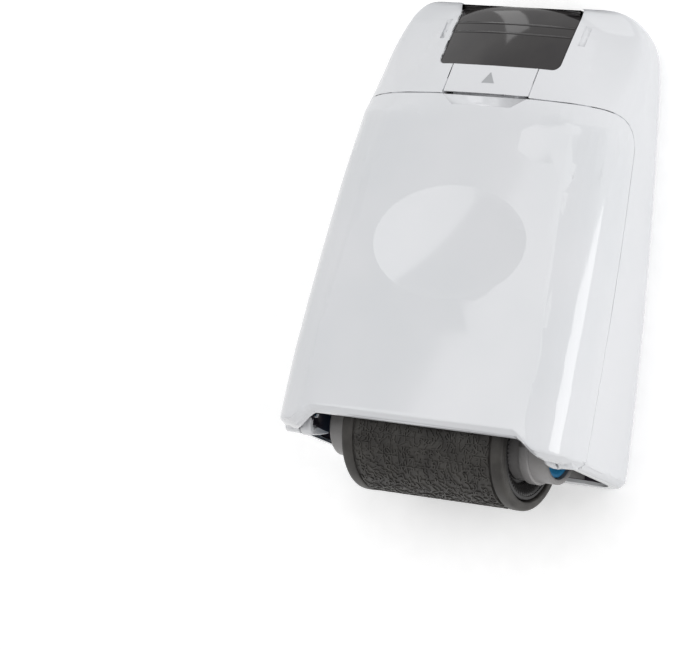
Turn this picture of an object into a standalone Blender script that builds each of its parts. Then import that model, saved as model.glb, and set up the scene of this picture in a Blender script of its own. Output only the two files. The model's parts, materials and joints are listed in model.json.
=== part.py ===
"""A hand-held roller stamp that hides print, lying on its flat back.

X runs across the body, Y along it towards the top end, Z from the flat back to the face.
The origin is the middle of the flat back. Lengths are in metres.
"""

import math

import bmesh
import bpy
from mathutils import Matrix, Vector

# Body
body_width = 0.0763
body_length = 0.1067
body_depth = 0.0385
front_fall_share = 0.502979
side_taper = 0.0037
wall = 0.002
ridge_width_share = 0.38
corner_height_share = 0.332468
back_corner_radius = 0.0055
back_crown_length = 0.0095
crown_length = 0.0277
crown_tip_share = 0.311688
shoulder_length = 0.0158
shoulder_tip_half_width = 0.0208
arch_from_top = 0.0292
arch_length = 0.0285
arch_drop = 0.0028
arch_reach = 0.016
mouth_rise = 0.0093
mouth_blend = 0.022
lip_round = 0.0022
lip_depth = 0.0016
lip_length = 0.0045
gap = 0.0003
overrun = 0.004
crown_power_share = 1.58
shoulder_power_share = 2.75
ridge_power_share = 2.2
round_limit_share = 0.4
corner_limit_share = 0.5
arch_limit_share = 0.45
tip_share = 0.003
crease_angle = math.radians(15)
corner_pull_share = 0.67

# Seam of the front cover
seam_from_top = 0.0227
part_height_share = 0.649351
part_fall_share = 0.346428
seam_corner_radius = 0.009
knuckle_radius = 0.0024

# Thumb dish and finger notch
dish_half_width = 0.0195
dish_half_length = 0.0132
dish_depth = 0.001
dish_from_top = 0.0567
notch_half_width = 0.0108
notch_depth = 0.0024
notch_slope = 0.0032
notch_floor = 0.0012

# Window and knob in the top end
window_half_width = 0.0157
window_from_top = 0.0154
window_back_from_top = 0.0079
window_corner_radius = 0.0016
knob_recess = 0.001
knob_thickness = 0.0022
stem_half_width = 0.012
stem_thickness = 0.002
stem_length = 0.0182
rail_slot_width = 0.0016
rail_slot_offset = 0.0024
rail_slot_depth = 0.0006
rail_slot_length = 0.009
knob_screw_radius = 0.0009
knob_screw_head = 0.0016
knob_screw_offset = 0.008
knob_screw_head_depth = 0.001

# Latch tab
tab_half_width = 0.0109
tab_nose_length = 0.0042
tab_nose_half_width = 0.0095
tab_nose_thickness = 0.0015
latch_barrel_radius = 0.0016
latch_pin_radius = 0.0007
latch_pin_half_length = 0.0134
latch_depth = 0.0036
latch_lug_length = 0.0022
latch_clearance = 0.003
tab_clearance = 0.0006

# Stamp roller
roller_above_mouth = 0.0069
roller_height_share = 0.454545
roller_radius_share = 0.371429
roller_length_share = 0.273919
sleeve_thickness = 0.0022
field_drop = 0.0005
rim_band = 0.003
band_groove = 0.0006
rim_round = 0.0007
ring_room = 0.00425
core_wall = 0.0015
core_hub_radius = 0.0059
spoke_thickness = 0.0012
ring_inset = 0.00045
ring_web = 0.0012
ring_tooth_depth = 0.0014
ring_wall = 0.001
bush_radius = 0.0043
bush_length = 0.0075
axle_radius = 0.002
spoke_count = 6
tooth_count = 24
tooth_shares = (0.1, 0.45, 0.6, 0.95)

# Ink roller
ink_radius_share = 0.207792
ink_wall = 0.0042
ink_inset = 0.00125
ink_flange_inset = 0.002
ink_flange_thickness = 0.0009
ink_axle_radius = 0.0016

# Cartridge
plate_clearance = 0.00075
plate_thickness = 0.002
hub_radius = 0.0074
hub_clearance = 0.0022
cap_rim = 0.0012
cap_seat_depth = 0.0026
cap_thickness = 0.0017
cap_dish = 0.0009
cap_dish_share = 0.85
plate_top_margin = 0.0022
plate_foot_margin = 0.0006
hood_thickness = 0.0012
hood_clearance = 0.0008
hood_angle = math.radians(72)
grip_length = 0.0055
grip_thickness = 0.0016
grip_half_width = 0.009

# Carriage that carries the cartridge and the knob
carriage_travel = 0.0125
carriage_lift = 0.0004
carriage_thickness = 0.0018
carriage_inset = 0.0045
carriage_neck_inset = 0.0014
carriage_start = 0.0165
carriage_shoulder = 0.0785
carriage_end = 0.0885
cross_bar_length = 0.0075
saddle_clearance = 0.0012
saddle_thickness = 0.002
saddle_arm = 0.0045

# Guides, hinge ears and latch post of the rear housing
guide_thickness = 0.0015
guide_lip = 0.0014
guide_lip_thickness = 0.0012
guide_length = 0.014
guide_places_share = (0.36, 0.68)
ear_inset = 0.0059
ear_thickness = 0.0026
ear_radius = 0.0027
ear_foot_drop = 0.002
ear_web_drop = 0.0015
cover_pin_radius = 0.0012
lug_radius = 0.0024
lug_depth = 0.0026
post_radius = 0.0024
post_stop = 0.0042
spring_radius = 0.0016
spring_wire = 0.0005
spring_turns = 4

# Sizes that follow the body's depth and width
front_fall = body_depth * front_fall_share
corner_height = body_depth * corner_height_share
crown_tip_height = body_depth * crown_tip_share
part_height = body_depth * part_height_share
part_fall = body_depth * part_fall_share
ridge_half_width = body_width * ridge_width_share
roller_height = body_depth * roller_height_share
roller_radius = body_depth * roller_radius_share
roller_half_length = body_width * roller_length_share
core_half_length = roller_half_length - ring_room
ink_radius = body_depth * ink_radius_share
ink_core_radius = ink_radius - ink_wall
ink_flange_radius = ink_radius - ink_flange_inset
ink_half_length = roller_half_length - ink_inset
plate_inner = roller_half_length + plate_clearance
plate_outer = plate_inner + plate_thickness
plate_top_radius = ink_radius + plate_top_margin
saddle_inner = plate_outer + saddle_clearance
carriage_half_width = saddle_inner - carriage_inset
carriage_top_half_width = window_half_width - carriage_neck_inset
ear_inner = body_width / 2 - wall - ear_inset
ear_web_height = part_height - ear_web_drop
hub_end = ear_inner - hub_clearance

# Places worked out from the sizes above
body_top = body_length / 2
body_bottom = -body_length / 2
roller_y = body_bottom + roller_above_mouth
seam_y = body_top - seam_from_top
crown_start = body_top - crown_length
arch_start = body_top - arch_from_top
shoulder_start = body_top - shoulder_length
window_bottom = body_top - window_from_top
window_back = body_top - window_back_from_top
dish_y = body_top - dish_from_top
ink_y = roller_y + roller_radius + ink_radius + gap
front_slope = front_fall / body_length
mouth_slope = mouth_rise / body_depth
part_slope = part_fall / body_length
sleeve_bore = roller_radius - sleeve_thickness
core_radius = sleeve_bore - gap
ring_end = roller_half_length - ring_inset
ring_start = core_half_length + gap
hub_start = ring_start + ring_web + gap
carriage_low = wall + carriage_lift
carriage_high = carriage_low + carriage_thickness
seam_to_window = window_bottom - seam_y


def srgb(code):
    """Linear colour of an sRGB hex code."""
    parts = [int(code[i : i + 2], 16) / 255 for i in (1, 3, 5)]
    return [c / 12.92 if c <= 0.04045 else ((c + 0.055) / 1.055) ** 2.4 for c in parts]


def material(name, code, roughness, metallic=0.0):
    """A Principled material."""
    made = bpy.data.materials.new(name)
    made.use_nodes = True
    shader = made.node_tree.nodes["Principled BSDF"]
    shader.inputs["Base Color"].default_value = (*srgb(code), 1)
    shader.inputs["Roughness"].default_value = roughness
    shader.inputs["Metallic"].default_value = metallic
    return made


def solid(name, points, faces):
    """A closed mesh object with its faces pointing out."""
    mesh = bpy.data.meshes.new(name)
    mesh.from_pydata([tuple(p) for p in points], [], faces)
    edit = bmesh.new()
    edit.from_mesh(mesh)
    bmesh.ops.recalc_face_normals(edit, faces=edit.faces)
    edit.to_mesh(mesh)
    edit.free()
    made = bpy.data.objects.new(name, mesh)
    bpy.context.scene.collection.objects.link(made)
    return made


def combine(target, other, operation):
    """Applies one exact Boolean to the target and removes the other object."""
    step = target.modifiers.new(operation, "BOOLEAN")
    step.operation = operation
    step.solver = "EXACT"
    step.object = other
    graph = bpy.context.evaluated_depsgraph_get()
    old = target.data
    target.data = bpy.data.meshes.new_from_object(target.evaluated_get(graph))
    target.modifiers.clear()
    bpy.data.meshes.remove(old)
    bpy.data.objects.remove(other)
    return target


def cut(target, *others):
    for other in others:
        combine(target, other, "DIFFERENCE")
    return target


def join(target, *others):
    for other in others:
        combine(target, other, "UNION")
    return target


def common(target, other):
    return combine(target, other, "INTERSECT")


def finish(made, look, smooth=40):
    """Gives the object its material and smooth shading up to an angle."""
    made.data.materials.clear()
    made.data.materials.append(look)
    made.data.shade_smooth()
    made.data.set_sharp_from_angle(angle=math.radians(smooth))
    return made


def pivot(made, place):
    """Puts the object's origin on its joint's axis and leaves the mesh where it is."""
    made.data.transform(Matrix.Translation(-place))
    made.location = place
    return made


def frame(origin, a, b):
    """A matrix with local axes a, b and a cross b at the origin."""
    a = Vector(a).normalized()
    b = Vector(b).normalized()
    c = a.cross(b)
    return Matrix(((a.x, b.x, c.x, origin[0]), (a.y, b.y, c.y, origin[1]),
                   (a.z, b.z, c.z, origin[2]), (0, 0, 0, 1)))


def across(y, z):
    """The frame whose third axis runs along +X through (y, z)."""
    return frame((0, y, z), (0, 1, 0), (0, 0, 1))


def prism(name, outline, place, low, high):
    """An outline in the frame's first two axes, extruded along the third from low to high."""
    count = len(outline)
    points = [place @ Vector((a, b, level)) for level in (low, high) for a, b in outline]
    faces = [(i, (i + 1) % count, (i + 1) % count + count, i + count) for i in range(count)]
    faces += [tuple(range(count)), tuple(range(count, 2 * count))]
    return solid(name, points, faces)


def turn(name, profile, place, steps=48):
    """A closed profile of (level, radius) points, turned round the frame's third axis."""
    points = []
    rings = []
    for level, radius in profile:
        if radius == 0:
            rings.append([len(points)] * steps)
            points.append(place @ Vector((0, 0, level)))
            continue
        rings.append([len(points) + k for k in range(steps)])
        for k in range(steps):
            angle = 2 * math.pi * k / steps
            points.append(place @ Vector((radius * math.cos(angle), radius * math.sin(angle), level)))
    faces = []
    for i, ring in enumerate(rings):
        after = rings[(i + 1) % len(rings)]
        for k in range(steps):
            m = (k + 1) % steps
            corners = list(dict.fromkeys((ring[k], ring[m], after[m], after[k])))
            if len(corners) > 2:
                faces.append(tuple(corners))
    return solid(name, points, faces)


def cylinder(name, radius, place, low, high, steps=32):
    return turn(name, [(low, 0), (low, radius), (high, radius), (high, 0)], place, steps)


def tube(name, outer, inner, place, low, high, steps=48):
    return turn(name, [(low, inner), (low, outer), (high, outer), (high, inner)], place, steps)


def arc(centre, radius, start, end, steps):
    """Points of an arc, both ends included, with angles in radians."""
    angles = [start + (end - start) * k / steps for k in range(steps + 1)]
    return [(centre[0] + radius * math.cos(t), centre[1] + radius * math.sin(t)) for t in angles]


def rounded_rectangle(half_a, half_b, radius, steps=5):
    quarter = math.pi / 2
    centres = ((1, 1), (-1, 1), (-1, -1), (1, -1))
    outline = []
    for k, (a, b) in enumerate(centres):
        centre = (a * (half_a - radius), b * (half_b - radius))
        outline += arc(centre, radius, k * quarter, (k + 1) * quarter, steps)
    return outline


def capsule(length, low_radius, high_radius, steps=16):
    """The hull of a circle at the origin and one at (length, 0)."""
    lean = math.acos((low_radius - high_radius) / length)
    far = arc((length, 0), high_radius, -lean, lean, steps)
    near = arc((0, 0), low_radius, lean, 2 * math.pi - lean, steps)
    return far + near


def coil(name, place, radius, wire, length, turns):
    """A helical spring as one unbroken tube along the frame's third axis."""
    per_turn = 9
    sides = 5
    count = turns * per_turn
    pitch = length / turns
    print(name, "least gap between turns in mm:", round((pitch - wire) * 1000, 2))
    points = []
    for k in range(count + 1):
        angle = 2 * math.pi * k / per_turn
        out = Vector((math.cos(angle), math.sin(angle), 0))
        level = wire / 2 + (length - wire) * k / count
        for m in range(sides):
            round_wire = 2 * math.pi * m / sides
            reach = out * (radius + wire / 2 * math.cos(round_wire))
            points.append(place @ (reach + Vector((0, 0, level + wire / 2 * math.sin(round_wire)))))
    faces = [tuple(range(sides)), tuple(range(count * sides, (count + 1) * sides))]
    for k in range(count):
        for m in range(sides):
            n = (m + 1) % sides
            low = k * sides
            faces.append((low + m, low + n, low + sides + n, low + sides + m))
    return solid(name, points, faces)


def plane_height(y):
    """Height of the front plane over the back, which falls towards the top end."""
    return body_depth - front_slope * (y - roller_y)


def top_share(y, start, length, inset, power):
    """How much of a size is left at y where the top end closes, from 1 down to 0."""
    reach = (y - start) / (length - inset)
    return (1 - min(max(reach, 0), 1) ** power) ** (1 / power)


def half_width(y, inset):
    side = body_width / 2 - side_taper * ((y - body_bottom) / (seam_y - body_bottom)) ** 2 - inset
    tip = shoulder_tip_half_width
    share = top_share(y, shoulder_start, shoulder_length, inset, shoulder_power_share)
    return tip + (side - tip) * share


def front_height(y, inset):
    rise = plane_height(y) - inset - crown_tip_height
    return crown_tip_height + rise * top_share(y, crown_start, crown_length, inset, crown_power_share)


def arch_fall(y, x):
    """How far the front has dropped at x, as it arches across the body towards the top end."""
    along = min(max((y - arch_start) / arch_length, 0), 1)
    return arch_drop * (1 - (1 - along) ** 2) * (x / arch_reach) ** 2


def back_height(y, inset):
    start = body_top - back_crown_length
    rise = crown_tip_height - inset
    return inset + rise * (1 - top_share(y, start, back_crown_length, inset, 2))


def corner_curve(low, high, steps):
    """The front corner, from the flank up to the ridge, which it meets at the crease angle."""
    width = low[0] - high[0]
    height = high[1] - low[1]
    pull = corner_pull_share
    second = (low[0], low[1] + height * pull)
    fall = min(width * pull * math.sin(crease_angle), height / 2)
    third = (high[0] + width * pull * math.cos(crease_angle), high[1] - fall)
    curve = []
    for k in range(steps + 1):
        t = k / steps
        weights = ((1 - t) ** 3, 3 * t * (1 - t) ** 2, 3 * t * t * (1 - t), t ** 3)
        curve.append(tuple(sum(w * p[i] for w, p in zip(weights, (low, second, third, high)))
                           for i in (0, 1)))
    return curve


def mouth_round(y, length):
    """How far a rounding of the mouth's edge goes in at y, from 1 at the edge down to 0 at its length."""
    away = min(max((y - body_bottom) / length, 0), 1)
    return 1 - math.sqrt(1 - (1 - away) ** 2)


def body_ring(y, inset, lean):
    """One cross-section, leaning forward by the given share of the mouth's slope."""
    slope = mouth_slope * lean
    inner = inset >= wall
    turned = lip_depth * mouth_round(y, lip_length) if inner else lip_round * mouth_round(y, lip_round)
    width = half_width(y, inset) - turned
    front = (front_height(y, inset) - turned) / (1 + front_slope * slope)
    back = back_height(y, inset)
    depth = front - back
    full = body_width / 2 - inset
    round_back = min(back_corner_radius - inset / 2, depth * round_limit_share, width * round_limit_share)
    round_front = min(corner_height - inset / 2, depth * corner_limit_share)
    ridge = ridge_half_width * (width / full) ** ridge_power_share
    side = arc((width - round_back, back + round_back), round_back, -math.pi / 2, 0, 6)
    fall = min(arch_fall(y, ridge), depth * arch_limit_share)
    low = max(front - round_front - fall / 2, back + depth * arch_limit_share)
    side += corner_curve((width, low), (ridge, front - fall), 9)
    side += [(ridge * share, front - fall * share * share) for share in (2 / 3, 1 / 3)]
    ring = side + [(0, front)] + [(-x, z) for x, z in reversed(side)]
    return [(x, y + slope * z, z) for x, z in ring]


def body_stations(inset):
    """Places along Y, closer together at the mouth's lip and where the top end curves."""
    longest = lip_length if inset >= wall else lip_round
    lip = [body_bottom + longest * (1 - math.cos(math.pi / 2 * k / 4)) for k in range(5)]
    before = [] if inset == 0 else [body_bottom - overrun]
    straight = [lip[-1] + (crown_start - lip[-1]) * k / 5 for k in range(1, 6)]
    end = body_top - inset
    close = [1 - (1 - k / 12) ** 2 for k in range(1, 12)]
    close.append(1 - tip_share)
    return before + lip + straight + [crown_start + (end - crown_start) * share for share in close]


def body_block(name, inset):
    """The whole body as one solid of triangles, shrunk by the inset."""
    rings = []
    for y in body_stations(inset):
        lean = min(max(1 - (y - body_bottom) / mouth_blend, 0), 1)
        rings.append(body_ring(y, inset, lean))
    count = len(rings[0])
    points = [p for ring in rings for p in ring]
    faces = [tuple(range(count)), tuple(range(len(points) - count, len(points)))]
    for r in range(len(rings) - 1):
        for k in range(count):
            m = (k + 1) % count
            near = (r * count + k, r * count + m)
            far = (near[0] + count, near[1] + count)
            turned = k < count // 2
            faces.append((*near, far[turned]))
            faces.append((*far[::-1], near[not turned]))
    return solid(name, points, faces)


def body_skin(name, outer, inner):
    """The layer of the body between two insets."""
    return cut(body_block(name, outer), body_block("core", inner))


def part_line(y):
    """Height of the seam along the flanks."""
    return part_height - part_slope * (y - roller_y)


def mouth_y(z):
    """Where the leaning mouth of the body lies at a height."""
    return body_bottom + mouth_slope * z


hinge_y = mouth_y(part_height) + knuckle_radius
hinge_z = part_line(hinge_y) + knuckle_radius


def cover_outline(grow):
    """Side view of the room that the cover takes, with the rounded corner at its top and foot."""
    radius = seam_corner_radius + grow
    top = seam_y + grow
    foot = knuckle_radius + grow
    corner = (top - radius, part_line(seam_y) - grow + radius)
    lean = math.atan(part_slope)
    outline = arc((hinge_y, hinge_z), foot, math.pi, 1.5 * math.pi - lean, 8)
    outline += arc(corner, radius, -math.pi / 2, 0, 10)
    high = body_depth + overrun
    low = body_bottom - overrun
    return outline + [(top, high), (low, high), (low, hinge_z + mouth_rise),
                      (hinge_y - foot, hinge_z + overrun)]


def cover_room(grow):
    place = across(0, 0)
    reach = body_width / 2 + overrun
    return prism("cover_room", cover_outline(grow), place, -reach, reach)


def knob_room(grow):
    """The slot in the top end: through the front, over the top and a little down the back."""
    half = window_half_width + grow
    low = window_bottom - grow
    far = body_top + overrun
    radius = window_corner_radius
    quarter = math.pi / 2
    outline = arc((radius - half, low + radius), radius, -2 * quarter, -quarter, 5)
    outline += arc((half - radius, low + radius), radius, -quarter, 0, 5)
    outline += [(half, far), (-half, far)]
    made = prism("knob_room", outline, upright(0, 0), crown_tip_height, body_depth)
    back = [(half, window_back - grow), (half, far), (-half, far), (-half, window_back - grow)]
    return join(made, prism("back", back, upright(0, 0), -overrun, crown_tip_height + overrun))


def upright(x, y):
    """The frame whose third axis runs along +Z through (x, y)."""
    return frame((x, y, 0), (1, 0, 0), (0, 1, 0))


def lengthwise(x, z):
    """The frame whose third axis runs along +Y through (x, z)."""
    return frame((x, 0, z), (0, 0, 1), (1, 0, 0))


def tab_frame():
    """The tab's own frame, upright on the surface at the seam."""
    return frame((0, seam_y, front_height(seam_y, 0)), (1, 0, 0), (0, 1, 0))


def tab_room(half, grow, low, high):
    outline = [(-half - grow, low), (half + grow, low), (half + grow, high), (-half - grow, high)]
    return prism("tab_room", outline, tab_frame(), -2 * overrun, overrun)


latch_y = window_bottom - latch_barrel_radius - latch_clearance
latch_z = front_height(latch_y, 0) - latch_depth


def mirrored(outline_room, side):
    """Low and high ends along X of a piece on the given side."""
    low, high = outline_room
    return (low, high) if side > 0 else (-high, -low)


def rear_housing(look):
    """Back half of the shell with the top end, guides, hinge ears, latch lugs and latch post."""
    made = body_skin("rear_housing", 0, wall)
    cut(made, cover_room(gap))
    cut(made, knob_room(0))
    cut(made, tab_room(tab_half_width, gap, -overrun, seam_to_window + overrun / 2))
    for side in (1, -1):
        join(made, hinge_ear(side), latch_lug(side))
        for share in guide_places_share:
            join(made, guide(side, roller_y + share * body_length))
    join(made, latch_post())
    for side in (1, -1):
        cut(made, cylinder("hole", cover_pin_radius + gap, across(hinge_y, hinge_z),
                           *mirrored((ear_inner - overrun, ear_inner + ear_thickness + gap), side), 20))
        cut(made, rail_slot(side))
    cut(made, cylinder("hole", latch_pin_radius + gap, across(latch_y, latch_z),
                       -window_half_width, window_half_width, 12))
    return finish(made, look)


def guide(side, y):
    """An L-shaped rib that the carriage's edge slides under."""
    inner = carriage_half_width + gap
    outer = inner + guide_thickness
    lip = carriage_high + gap
    high = lip + guide_lip_thickness
    outline = [(wall / 2, inner), (wall / 2, outer), (high, outer), (high, inner - guide_lip),
               (lip, inner - guide_lip), (lip, inner)]
    outline = [(z, side * x) for z, x in outline]
    return prism("guide", outline, lengthwise(0, 0), y, y + guide_length)


def saddle(side):
    """A rib of the carriage that cradles a hub of the cartridge from behind and above."""
    notch = hub_radius + gap
    reach = notch + saddle_arm
    foot = carriage_low - roller_height
    outline = [(-notch * math.cos(math.pi / 4), foot), (carriage_start + cross_bar_length, foot),
               (carriage_start + cross_bar_length, foot + saddle_arm), (reach, 0), (notch, 0)]
    outline += arc((0, 0), notch, 0, -3 * math.pi / 4, 14)[1:]
    room = mirrored((saddle_inner, saddle_inner + saddle_thickness), side)
    return prism("saddle", outline, across(roller_y, roller_height), *room)


def flat_plate(name, half, low, high, deep=0):
    """A plate from low to high along Y, counted from the roller's axis, as thick as the carriage."""
    start = roller_y + low
    end = roller_y + high
    outline = [(-half, start), (half, start), (half, end), (-half, end)]
    return prism(name, outline, upright(0, 0), carriage_low - deep, carriage_high + deep)


def carriage(look):
    """The sliding frame: a plate behind the cartridge, with saddles for its hubs."""
    made = flat_plate("carriage", carriage_half_width, carriage_start, carriage_shoulder)
    join(made, flat_plate("neck", carriage_top_half_width, carriage_shoulder - overrun, carriage_end))
    join(made, flat_plate("bar", saddle_inner + saddle_thickness / 2, carriage_start,
                          carriage_start + cross_bar_length))
    join(made, saddle(1), saddle(-1))
    post = latch_spring_y - roller_y
    reach = post_radius + gap + gap
    cut(made, flat_plate("slot", reach, post - carriage_travel - reach, post + reach, overrun))
    cut(made, screw_hole(1), screw_hole(-1))
    return pivot(finish(made, look), Vector((0, roller_y, roller_height)))


screw_y = window_bottom + overrun


def screw_hole(side):
    place = upright(side * knob_screw_offset, screw_y)
    return cylinder("hole", knob_screw_radius + gap, place, 0, crown_tip_height, 16)


def top_knob(look):
    """The dark knob that wraps over the top end, with the stem that is screwed to the carriage."""
    made = body_skin("top_knob", knob_recess, knob_recess + knob_thickness)
    common(made, knob_room(-gap))
    low = carriage_high + gap
    half = stem_half_width
    middle = knob_recess + knob_thickness / 2
    outline = [(-half, body_top - stem_length), (half, body_top - stem_length),
               (half, body_top - middle), (-half, body_top - middle)]
    stem = prism("stem", outline, upright(0, 0), low, low + stem_thickness)
    join(made, common(stem, body_block("inside", middle)))
    cut(made, screw_hole(1), screw_hole(-1))
    return pivot(finish(made, look), Vector((0, roller_y, roller_height)))


def hinge_ear(side):
    """The ear that carries a hinge pin, on a web from the flank."""
    y = hinge_y
    low = roller_height + ear_foot_drop - hinge_z
    outline = [(ear_radius, low), (ear_radius, 0)]
    outline += arc((0, 0), ear_radius, 0, math.pi, 10)[1:]
    outline += [(-ear_radius, (low + ear_web_height - hinge_z) / 2), (0, low)]
    room = mirrored((ear_inner, ear_inner + ear_thickness), side)
    ear = prism("ear", outline, across(y, hinge_z), *room)
    web = [(0, low), (ear_radius, low), (ear_radius, ear_web_height - hinge_z),
           (-ear_radius / 2, ear_web_height - hinge_z), (-ear_radius / 2, low + overrun / 4)]
    flank = mirrored((ear_inner + ear_thickness / 2, half_width(y, wall / 2)), side)
    return join(ear, prism("web", web, across(y, hinge_z), *flank))


latch_post_height = latch_z - post_stop - latch_barrel_radius
latch_spring_y = seam_y - latch_barrel_radius


def latch_post():
    """The post under the latch tab's spring."""
    place = upright(0, latch_spring_y)
    made = cylinder("post", post_radius, place, wall / 2, latch_post_height, 20)
    pin = cylinder("pin", spring_radius - spring_wire / 2 - gap, place,
                   latch_post_height - overrun / 2, latch_post_height + post_stop / 3, 16)
    return join(made, pin)


def barrel_outline(reach):
    """Side view of the round that the latch pin goes through, with its neck up to the wall."""
    radius = latch_barrel_radius
    far = front_height(latch_y + radius, wall / 2) - arch_fall(latch_y, reach) - latch_z
    near = front_height(latch_y - radius, wall / 2) - arch_fall(latch_y, reach) - latch_z
    return arc((0, 0), radius, math.pi, 2 * math.pi, 8) + [(radius, far), (-radius, near)]


def latch_lug(side):
    """A lug beside the tab that holds an end of the latch pin."""
    inner = tab_half_width + gap + gap
    room = mirrored((inner, inner + latch_lug_length), side)
    outline = barrel_outline(inner + latch_lug_length)
    return prism("lug", outline, across(latch_y, latch_z), *room)


def rail_slot(side):
    """A shallow slot beside the window, open at the top end."""
    x = side * (window_half_width + rail_slot_offset)
    low = body_top - rail_slot_length
    outline = [(x - rail_slot_width / 2, low), (x + rail_slot_width / 2, low),
               (x + rail_slot_width / 2, body_top), (x - rail_slot_width / 2, body_top)]
    made = prism("slot", outline, upright(0, 0), crown_tip_height, body_depth)
    return cut(made, body_block("under", rail_slot_depth))


def front_cover(look):
    """The front shell with its thumb dish, finger notch and two hinge lugs."""
    made = body_skin("front_cover", 0, wall)
    common(made, cover_room(0))
    cut(made, thumb_dish(), finger_notch())
    for side in (1, -1):
        join(made, hinge_lug(side))
        cut(made, cylinder("hole", cover_pin_radius + gap, across(hinge_y, hinge_z),
                           *mirrored((ear_inner, half_width(hinge_y, wall) + wall / 4), side), 20))
    finish(made, look)
    return pivot(made, Vector((0, hinge_y, hinge_z)))


def face_frame(y):
    """A frame on the front plane, with its third axis square to the plane."""
    lean = math.atan(front_slope)
    return frame((0, y, plane_height(y)), (1, 0, 0), (0, math.cos(lean), -math.sin(lean)))


def thumb_dish():
    """The cutter of the oval dish: a shallow bowl under a flat top."""
    place = face_frame(dish_y)
    steps = 40
    rings = 5
    points = []
    for r in range(1, rings + 1):
        share = r / rings
        level = -dish_depth * (1 - share * share)
        for k in range(steps):
            angle = 2 * math.pi * k / steps
            points.append(place @ Vector((dish_half_width * share * math.cos(angle),
                                          dish_half_length * share * math.sin(angle), level)))
    for k in range(steps):
        angle = 2 * math.pi * k / steps
        points.append(place @ Vector((dish_half_width * math.cos(angle),
                                      dish_half_length * math.sin(angle), overrun)))
    faces = [tuple(range(steps)), tuple(range(rings * steps, (rings + 1) * steps))]
    for r in range(rings):
        for k in range(steps):
            m = (k + 1) % steps
            low = r * steps
            faces.append((low + k, low + m, low + steps + m, low + steps + k))
    return solid("dish", points, faces)


def finger_notch():
    """The cutter of the finger notch, a pocket open at the cover's top edge."""
    foot = notch_half_width - notch_slope
    outline = [(-notch_half_width, overrun), (-notch_half_width, 0), (-foot, -notch_depth),
               (foot, -notch_depth), (notch_half_width, 0), (notch_half_width, overrun)]
    return prism("notch", outline, face_frame(seam_y), -notch_floor, overrun)


def hinge_lug(side):
    """A boss inside the cover's flank that turns on the hinge pin."""
    inner = half_width(hinge_y, wall)
    room = mirrored((inner - lug_depth, inner + wall / 2), side)
    return cylinder("lug", lug_radius, across(hinge_y, hinge_z), *room, 20)


def cover_pin(side, look):
    """A hinge pin between an ear and the cover's flank."""
    name = "cover_pin_right" if side > 0 else "cover_pin_left"
    room = mirrored((ear_inner, half_width(hinge_y, wall) - gap), side)
    return finish(cylinder(name, cover_pin_radius, across(hinge_y, hinge_z), *room, 20), look)


def nose_height(y, inset):
    """Front height at the nose's ends, where the arch is lowest over it."""
    return front_height(y, inset) - arch_fall(y, tab_nose_half_width)


def latch_nose():
    """The nose that reaches under the cover's edge, with the step up to the tab."""
    start = seam_y - tab_nose_length
    end = seam_y + seam_to_window / 2
    step = seam_y + seam_to_window / 4
    places = [start + (end - start) * k / 5 for k in range(6)]
    high = wall + gap
    low = high + tab_nose_thickness
    outline = [(y, nose_height(y, low)) for y in places]
    outline += [(end, nose_height(end, wall / 2)), (step, nose_height(step, wall / 2))]
    outline += [(y, nose_height(y, high)) for y in reversed(places) if y < step]
    return prism("nose", outline, across(0, 0), -tab_nose_half_width, tab_nose_half_width)


def latch_tab(look):
    """The tab between window and seam, with a nose under the cover and a barrel on its pin."""
    made = body_skin("latch_tab", 0, wall)
    common(made, tab_room(tab_half_width, 0, tab_clearance, seam_to_window))
    join(made, latch_nose())
    half = tab_half_width - gap
    join(made, prism("barrel", barrel_outline(half), across(latch_y, latch_z), -half, half))
    cut(made, cylinder("hole", latch_pin_radius + gap, across(latch_y, latch_z),
                       -window_half_width, window_half_width, 12))
    finish(made, look)
    return pivot(made, Vector((0, latch_y, latch_z)))


def latch_pin(look):
    return finish(cylinder("latch_pin", latch_pin_radius, across(latch_y, latch_z),
                           -latch_pin_half_length, latch_pin_half_length, 16), look)


def knob_screw(side, look):
    """A screw through the carriage into the knob's stem."""
    name = "knob_screw_right" if side > 0 else "knob_screw_left"
    place = upright(side * knob_screw_offset, screw_y)
    high = carriage_high + gap + stem_thickness
    head = high + gap
    top = head + knob_screw_head_depth
    profile = [(carriage_low, 0), (carriage_low, knob_screw_radius), (head, knob_screw_radius),
               (head, knob_screw_head), (top, knob_screw_head), (top, 0)]
    return finish(turn(name, profile, place, 16), look)


def stamp_sleeve(look):
    """Rubber sleeve: a band at each end, a groove, and the lower field that carries the strokes."""
    end = roller_half_length
    field = roller_radius - field_drop
    inside = end - rim_band
    low = inside - band_groove
    half = [(inside, field - field_drop), (inside, roller_radius), (end - rim_round, roller_radius),
            (end - rim_round / 4, roller_radius - rim_round / 4), (end, roller_radius - rim_round),
            (end, sleeve_bore)]
    half = [(low, field), (low, field - field_drop)] + half
    other = [(-x, r) for x, r in reversed(half)]
    return finish(turn("stamp_sleeve", other + half, across(roller_y, roller_height), 48), look)


def drum_core(look):
    """The drum's tube on six spokes round a hub."""
    place = across(roller_y, roller_height)
    half = core_half_length
    inner = core_radius - core_wall
    made = tube("drum_core", core_radius, inner, place, -half, half, 48)
    join(made, tube("hub", core_hub_radius, bush_radius + gap, place, -half, half, 32))
    middle = (inner + core_hub_radius) / 2
    reach = (inner - core_hub_radius) / 2 + core_wall / 2
    for k in range(spoke_count):
        angle = 2 * math.pi * k / spoke_count
        out = Vector((0, math.cos(angle), math.sin(angle)))
        centre = Vector((0, roller_y, roller_height)) + out * middle
        side = Vector((1, 0, 0)).cross(out)
        outline = [(-reach, -spoke_thickness / 2), (reach, -spoke_thickness / 2),
                   (reach, spoke_thickness / 2), (-reach, spoke_thickness / 2)]
        join(made, prism("spoke", outline, frame(centre, out, side), -half, half))
    return finish(made, look)


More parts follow.
